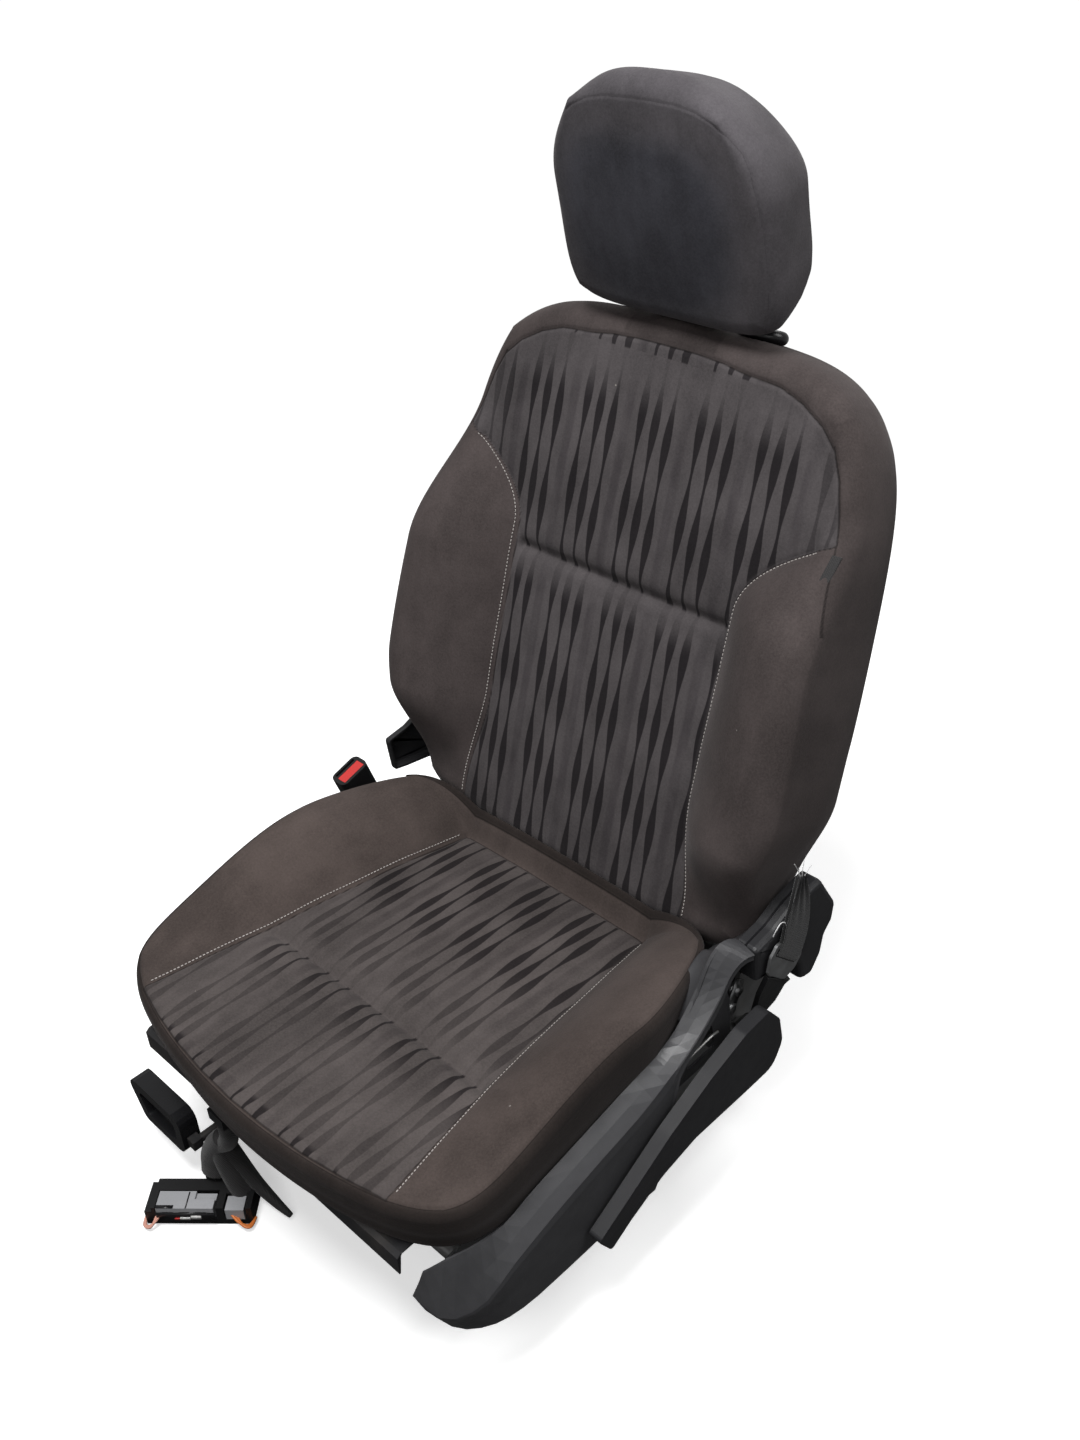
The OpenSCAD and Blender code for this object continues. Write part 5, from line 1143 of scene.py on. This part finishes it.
class CarSeatFinish(bpy.types.PropertyGroup):
    bolster: bpy.props.FloatVectorProperty(
        name="Bolster cloth", description="Colour of the plain cloth",
        default=rgb(74, 67, 66)[:3], min=0, max=1, subtype="COLOR")
    ground: bpy.props.FloatVectorProperty(
        name="Panel cloth", description="Colour between the stripes",
        default=rgb(79, 75, 76)[:3], min=0, max=1, subtype="COLOR")
    stripe: bpy.props.FloatVectorProperty(
        name="Stripe", description="Colour of the dark stripes",
        default=rgb(34, 31, 33)[:3], min=0, max=1, subtype="COLOR")
    faint: bpy.props.FloatVectorProperty(
        name="Faint stripe", description="Colour of the broad faint stripes",
        default=rgb(62, 58, 60)[:3], min=0, max=1, subtype="COLOR")


CAMERA_TURN = 45.9, 34.3, -3.1  # degrees: azimuth, height, roll
CAMERA_PLACE = 0.8647, -0.7486, 1.2812
CAMERA_FOCUS = 1407.3 / 1440  # of the picture's height
SENSOR_HEIGHT = 36

LOOM_ROUTE = np.array([[-76, -318, 142], [-76, -318, 120], [-82, -318, 102], [-97, -318, 86], [-112, -318, 70],
                       [-118, -318, 52], [-118, -318, 30]], float)

FLOOR_R, FLOOR_Z = 5000, -1.0
# name, place, aim, diameter, power
LAMPS = [("Key", (0.3, -0.8, 3.4), (0, 0, 0.4), 1.2, 84), ("Fill", (1.1, -2.0, 2.2), (0, 0, 0.8), 1.4, 20),
         ("Back", (1.9, 0.9, 2.6), (0, 0, 0.8), 1.6, 26), ("Rear", (-1.4, 2.6, 2.4), (0, 0, 0.6), 1.6, 34)]


def hang(name, data, right, up, back, place):
    """An object in the scene that holds a camera or a lamp, from its three axes and its place."""
    obj = bpy.data.objects.new(name, data)
    basis = np.eye(4)
    basis[:3, :3] = np.stack([right, up, back], -1)
    basis[:3, 3] = place
    obj.matrix_world = Matrix(basis.tolist())
    bpy.context.scene.collection.objects.link(obj)
    return obj


class CARSEAT_OT_camera(bpy.types.Operator):
    """Place the camera to the front and door side, above the seat"""

    bl_idname = "carseat.camera"
    bl_label = "Camera"

    def execute(self, context):
        data = bpy.data.cameras.new("Camera")
        data.sensor_fit, data.sensor_height, data.lens = "VERTICAL", SENSOR_HEIGHT, CAMERA_FOCUS * SENSOR_HEIGHT
        az, el, roll = np.radians(CAMERA_TURN)
        back = np.array([np.sin(az) * np.cos(el), -np.cos(az) * np.cos(el), np.sin(el)])
        right = unit(np.cross(-back, [0, 0, 1]))
        up = np.cross(right, -back)
        turned_right = np.cos(roll) * right + np.sin(roll) * up
        turned_up = -np.sin(roll) * right + np.cos(roll) * up
        context.scene.camera = hang("Camera", data, turned_right, turned_up, back, CAMERA_PLACE)
        return {"FINISHED"}


class CARSEAT_OT_loom(bpy.types.Operator):
    """Run the taped wiring loom from its clip under the cushion down into the connector block"""

    bl_idname = "carseat.loom"
    bl_label = "Wiring loom"

    def execute(self, context):
        sizes = context.scene.car_seat_sizes
        path = np.concatenate([LOOM_ROUTE[:1], smooth_curve(LOOM_ROUTE[1:6], 23), LOOM_ROUTE[6:]])
        r = sizes.loom_diameter / MM / 2
        obj = swept("Wiring_loom", path, circle_profile(r, 24), np.tile([0.0, 1, 0], (len(path), 1)))
        finish_piece(obj, "loom fleece", "seat_frame", "webbing")
        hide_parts("loom_free")
        finish_piece(make_loom_fleece(), "loom fleece", "seat_frame", "webbing")
        for piece, key in make_plug_parts():
            finish_piece(piece, key, "seat_frame", "black_plastic")
        return {"FINISHED"}


class CARSEAT_OT_stage(bpy.types.Operator):
    """Lay the pale floor and hang the soft studio lights"""

    bl_idname = "carseat.stage"
    bl_label = "Stage"

    def execute(self, context):
        self.lay_floor()
        for name, place, aim, size, power in LAMPS:
            data = bpy.data.lights.new(name, "AREA")
            data.shape, data.size, data.energy = "DISK", size, power
            back = unit(np.array(place) - np.array(aim))
            right = unit(np.cross([0, 0, 1.0], back))
            hang(name, data, right, np.cross(back, right), back, place)
        world = bpy.data.worlds.new("Studio")
        world.use_nodes = True
        context.scene.world = world
        w = Wires(world.node_tree)
        rays = w.node("LightPath").outputs
        seen = w.math("MAXIMUM", rays["Is Camera Ray"], rays["Is Transmission Ray"])
        seen = w.math("MAXIMUM", w.mul(rays["Is Glossy Ray"], 0.3), seen)
        w.fill(world.node_tree.nodes["Background"], {"Strength": w.add(0.1, w.mul(seen, 0.92)), "Color": (1, 1, 1, 1)})
        return {"FINISHED"}

    def lay_floor(self):
        """A wide disc that fades out; it is seen white by the camera and dark by everything else."""
        points = np.concatenate([circle_profile(FLOOR_R, 64), np.full((64, 1), FLOOR_Z)], -1)
        floor = new_object("Floor", points, [list(range(64))], smooth=False)
        mat, w, bsdf = new_material("Pale floor")
        seen = w.node("LightPath").outputs["Is Camera Ray"]
        far = w.node("VectorMath", {0: w.place()}, operation="LENGTH").outputs["Value"]
        w.fill(bsdf, {
            "Base Color": w.blend(seen, (0.05, 0.05, 0.05, 1), (0.95, 0.95, 0.95, 1)),
            "Alpha": w.remap(far, 0.9, 2.2, 1.0, 0.0),
            "Emission Color": (1, 1, 1, 1),
            "Emission Strength": w.mul(seen, 0.5),
            "Roughness": 0.9,
            "Specular IOR Level": 0.1,
        })
        floor.data.materials.append(mat)
        floor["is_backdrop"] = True


class CARSEAT_OT_cushion(bpy.types.Operator):
    """Upholster the seat cushion"""

    bl_idname = "carseat.cushion"
    bl_label = "Cushion"

    def execute(self, context):
        obj = make_cushion()
        finish_piece(obj, "cushion cloth", "seat_frame", "cloth")
        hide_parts("cushion")
        finish_piece(make_cushion_stitches(), "grey thread", "seat_frame", "cloth")
        return {"FINISHED"}


class CARSEAT_OT_backrest(bpy.types.Operator):
    """Upholster the backrest"""

    bl_idname = "carseat.backrest"
    bl_label = "Backrest"

    def execute(self, context):
        obj = make_backrest()
        finish_piece(obj, "backrest cloth", "backrest", "cloth")
        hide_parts("backrest_pad")
        finish_piece(make_backrest_stitches(), "grey thread", "backrest", "cloth")
        return {"FINISHED"}


class CARSEAT_OT_head_restraint(bpy.types.Operator):
    """Upholster the head restraint"""

    bl_idname = "carseat.head_restraint"
    bl_label = "Head restraint"

    def execute(self, context):
        obj = make_head_restraint()
        finish_piece(obj, "head cloth", "head_restraint", "cloth")
        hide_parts("head_restraint_pad")
        return {"FINISHED"}


TRIM = [
    (make_side_strip, "grey moulding", "seat_frame", "grey_plastic"),
    (make_cover_slit, "black smooth", "seat_frame", "black_plastic"),
    (make_lift_spring, "bright wire", "seat_frame", "bare_steel"),
    # a black sheet that stands in for the shade inside the side pocket
    (make_pocket_shade_sheet, "black moulding", "seat_frame", "black_plastic"),
    (make_pocket_fixings, "bare steel", "seat_frame", "bare_steel"),
    (make_collars, "black smooth", "backrest", "black_plastic"),
]


class CARSEAT_OT_trim(bpy.types.Operator):
    """Fit the side valance, parting line, lift spring, the black sheet of painted shade in the side pocket, and post
    collars
    """

    bl_idname = "carseat.trim"
    bl_label = "Side trim"

    def execute(self, context):
        for make, key, body, slot in TRIM:
            finish_piece(make(), key, body, slot)
        return {"FINISHED"}


class CARSEAT_OT_belt(bpy.types.Operator):
    """Fold the belt's webbing through the anchor plate's slot"""

    bl_idname = "carseat.belt"
    bl_label = "Belt end"

    def execute(self, context):
        obj, length, tip = make_webbing()
        finish_piece(obj, "webbing", "seat_frame", "webbing")
        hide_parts("belt_webbing")
        finish_piece(make_fray(tip), "white thread", "seat_frame", "webbing")
        return {"FINISHED"}


NODE_FINISH = {
    "grey moulding": ["outer_shield"],
    "dark moulding": ["recliner_cover_outboard", "recliner_cover_inboard", "height_lever", "rear_panel"],
    "loom fleece": ["side_tab"],
    "black smooth": ["release_handle"],
    "black moulding": ["buckle_housing", "belt_sleeve", "loom_clip", "connector_block", "guide_sleeve_plain",
                       "guide_sleeve_lock", "lock_button"],
    "red moulding": ["buckle_button"],
    "light moulding": ["connector_plugs"],
    "nylon": ["rail_glides", "shaft_bushes"],
    "webbing": ["belt_webbing", "loom_free", "cushion", "backrest_pad", "head_restraint_pad"],
    "bare steel": ["lower_pivot_bolts", "rear_links", "rear_lift_shaft", "front_links", "front_lift_shaft",
                   "side_member_outboard", "side_member_inboard", "front_cross_tube", "rear_cross_tube",
                   "seat_springs", "lift_clutch", "lift_pinion", "recliner_outer_plates", "recline_rod",
                   "buckle_stalk", "buckle_bolt", "belt_anchor_plate", "belt_anchor_bolt", "backrest_wires",
                   "head_restraint_posts"],
    "black steel": ["lower_rail_outboard", "lower_rail_inboard", "front_feet", "rear_feet", "upper_rail_outboard",
                    "upper_rail_inboard", "front_rail_brackets", "rear_rail_brackets", "release_rod", "seat_pan",
                    "recliner_arms", "backrest_hoop", "backrest_cross_tube", "sleeve_sockets"],
}


class CARSEAT_OT_frame_finish(bpy.types.Operator):
    """Give every part of the frame its paint, plating or moulded finish"""

    bl_idname = "carseat.frame_finish"
    bl_label = "Frame finishes"

    def execute(self, context):
        for key, names in NODE_FINISH.items():
            for name in names:
                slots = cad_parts[name].material_slots
                for slot in slots:
                    slot.material = material(key)
                if not slots:
                    raise RuntimeError(name + " has no material slot")
        return {"FINISHED"}


class CARSEAT_PT_panel(bpy.types.Panel):
    """Lists the pieces of the seat"""

    bl_idname = "CARSEAT_PT_panel"
    bl_label = "Car seat"
    bl_space_type = "VIEW_3D"
    bl_region_type = "UI"
    bl_category = "Car seat"

    def draw(self, context):
        layout = self.layout
        for group in (context.scene.car_seat_sizes, context.scene.car_seat_finish):
            for key in group.__annotations__:
                layout.prop(group, key)
        for operator in OPERATORS:
            layout.operator(operator.bl_idname)


OPERATORS = [CARSEAT_OT_camera, CARSEAT_OT_loom, CARSEAT_OT_stage, CARSEAT_OT_cushion, CARSEAT_OT_backrest,
             CARSEAT_OT_head_restraint, CARSEAT_OT_trim, CARSEAT_OT_belt, CARSEAT_OT_frame_finish]
CLASSES = [CarSeatSizes, CarSeatFinish, *OPERATORS, CARSEAT_PT_panel]


def register():
    for cls in CLASSES:
        bpy.utils.register_class(cls)
    bpy.types.Scene.car_seat_sizes = bpy.props.PointerProperty(type=CarSeatSizes)
    bpy.types.Scene.car_seat_finish = bpy.props.PointerProperty(type=CarSeatFinish)


def unregister():
    del bpy.types.Scene.car_seat_finish
    del bpy.types.Scene.car_seat_sizes
    for cls in reversed(CLASSES):
        bpy.utils.unregister_class(cls)


def main():
    register()
    bpy.context.scene.view_settings.view_transform = "Standard"
    for operator in OPERATORS:
        getattr(bpy.ops.carseat, operator.bl_idname.split(".")[1])()
    boxes = {key: [list(map(float, corner)) for corner in box]
             for key, box in (("cad", cad_box), ("visual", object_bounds()))}


if __name__ == "__main__":
    main()
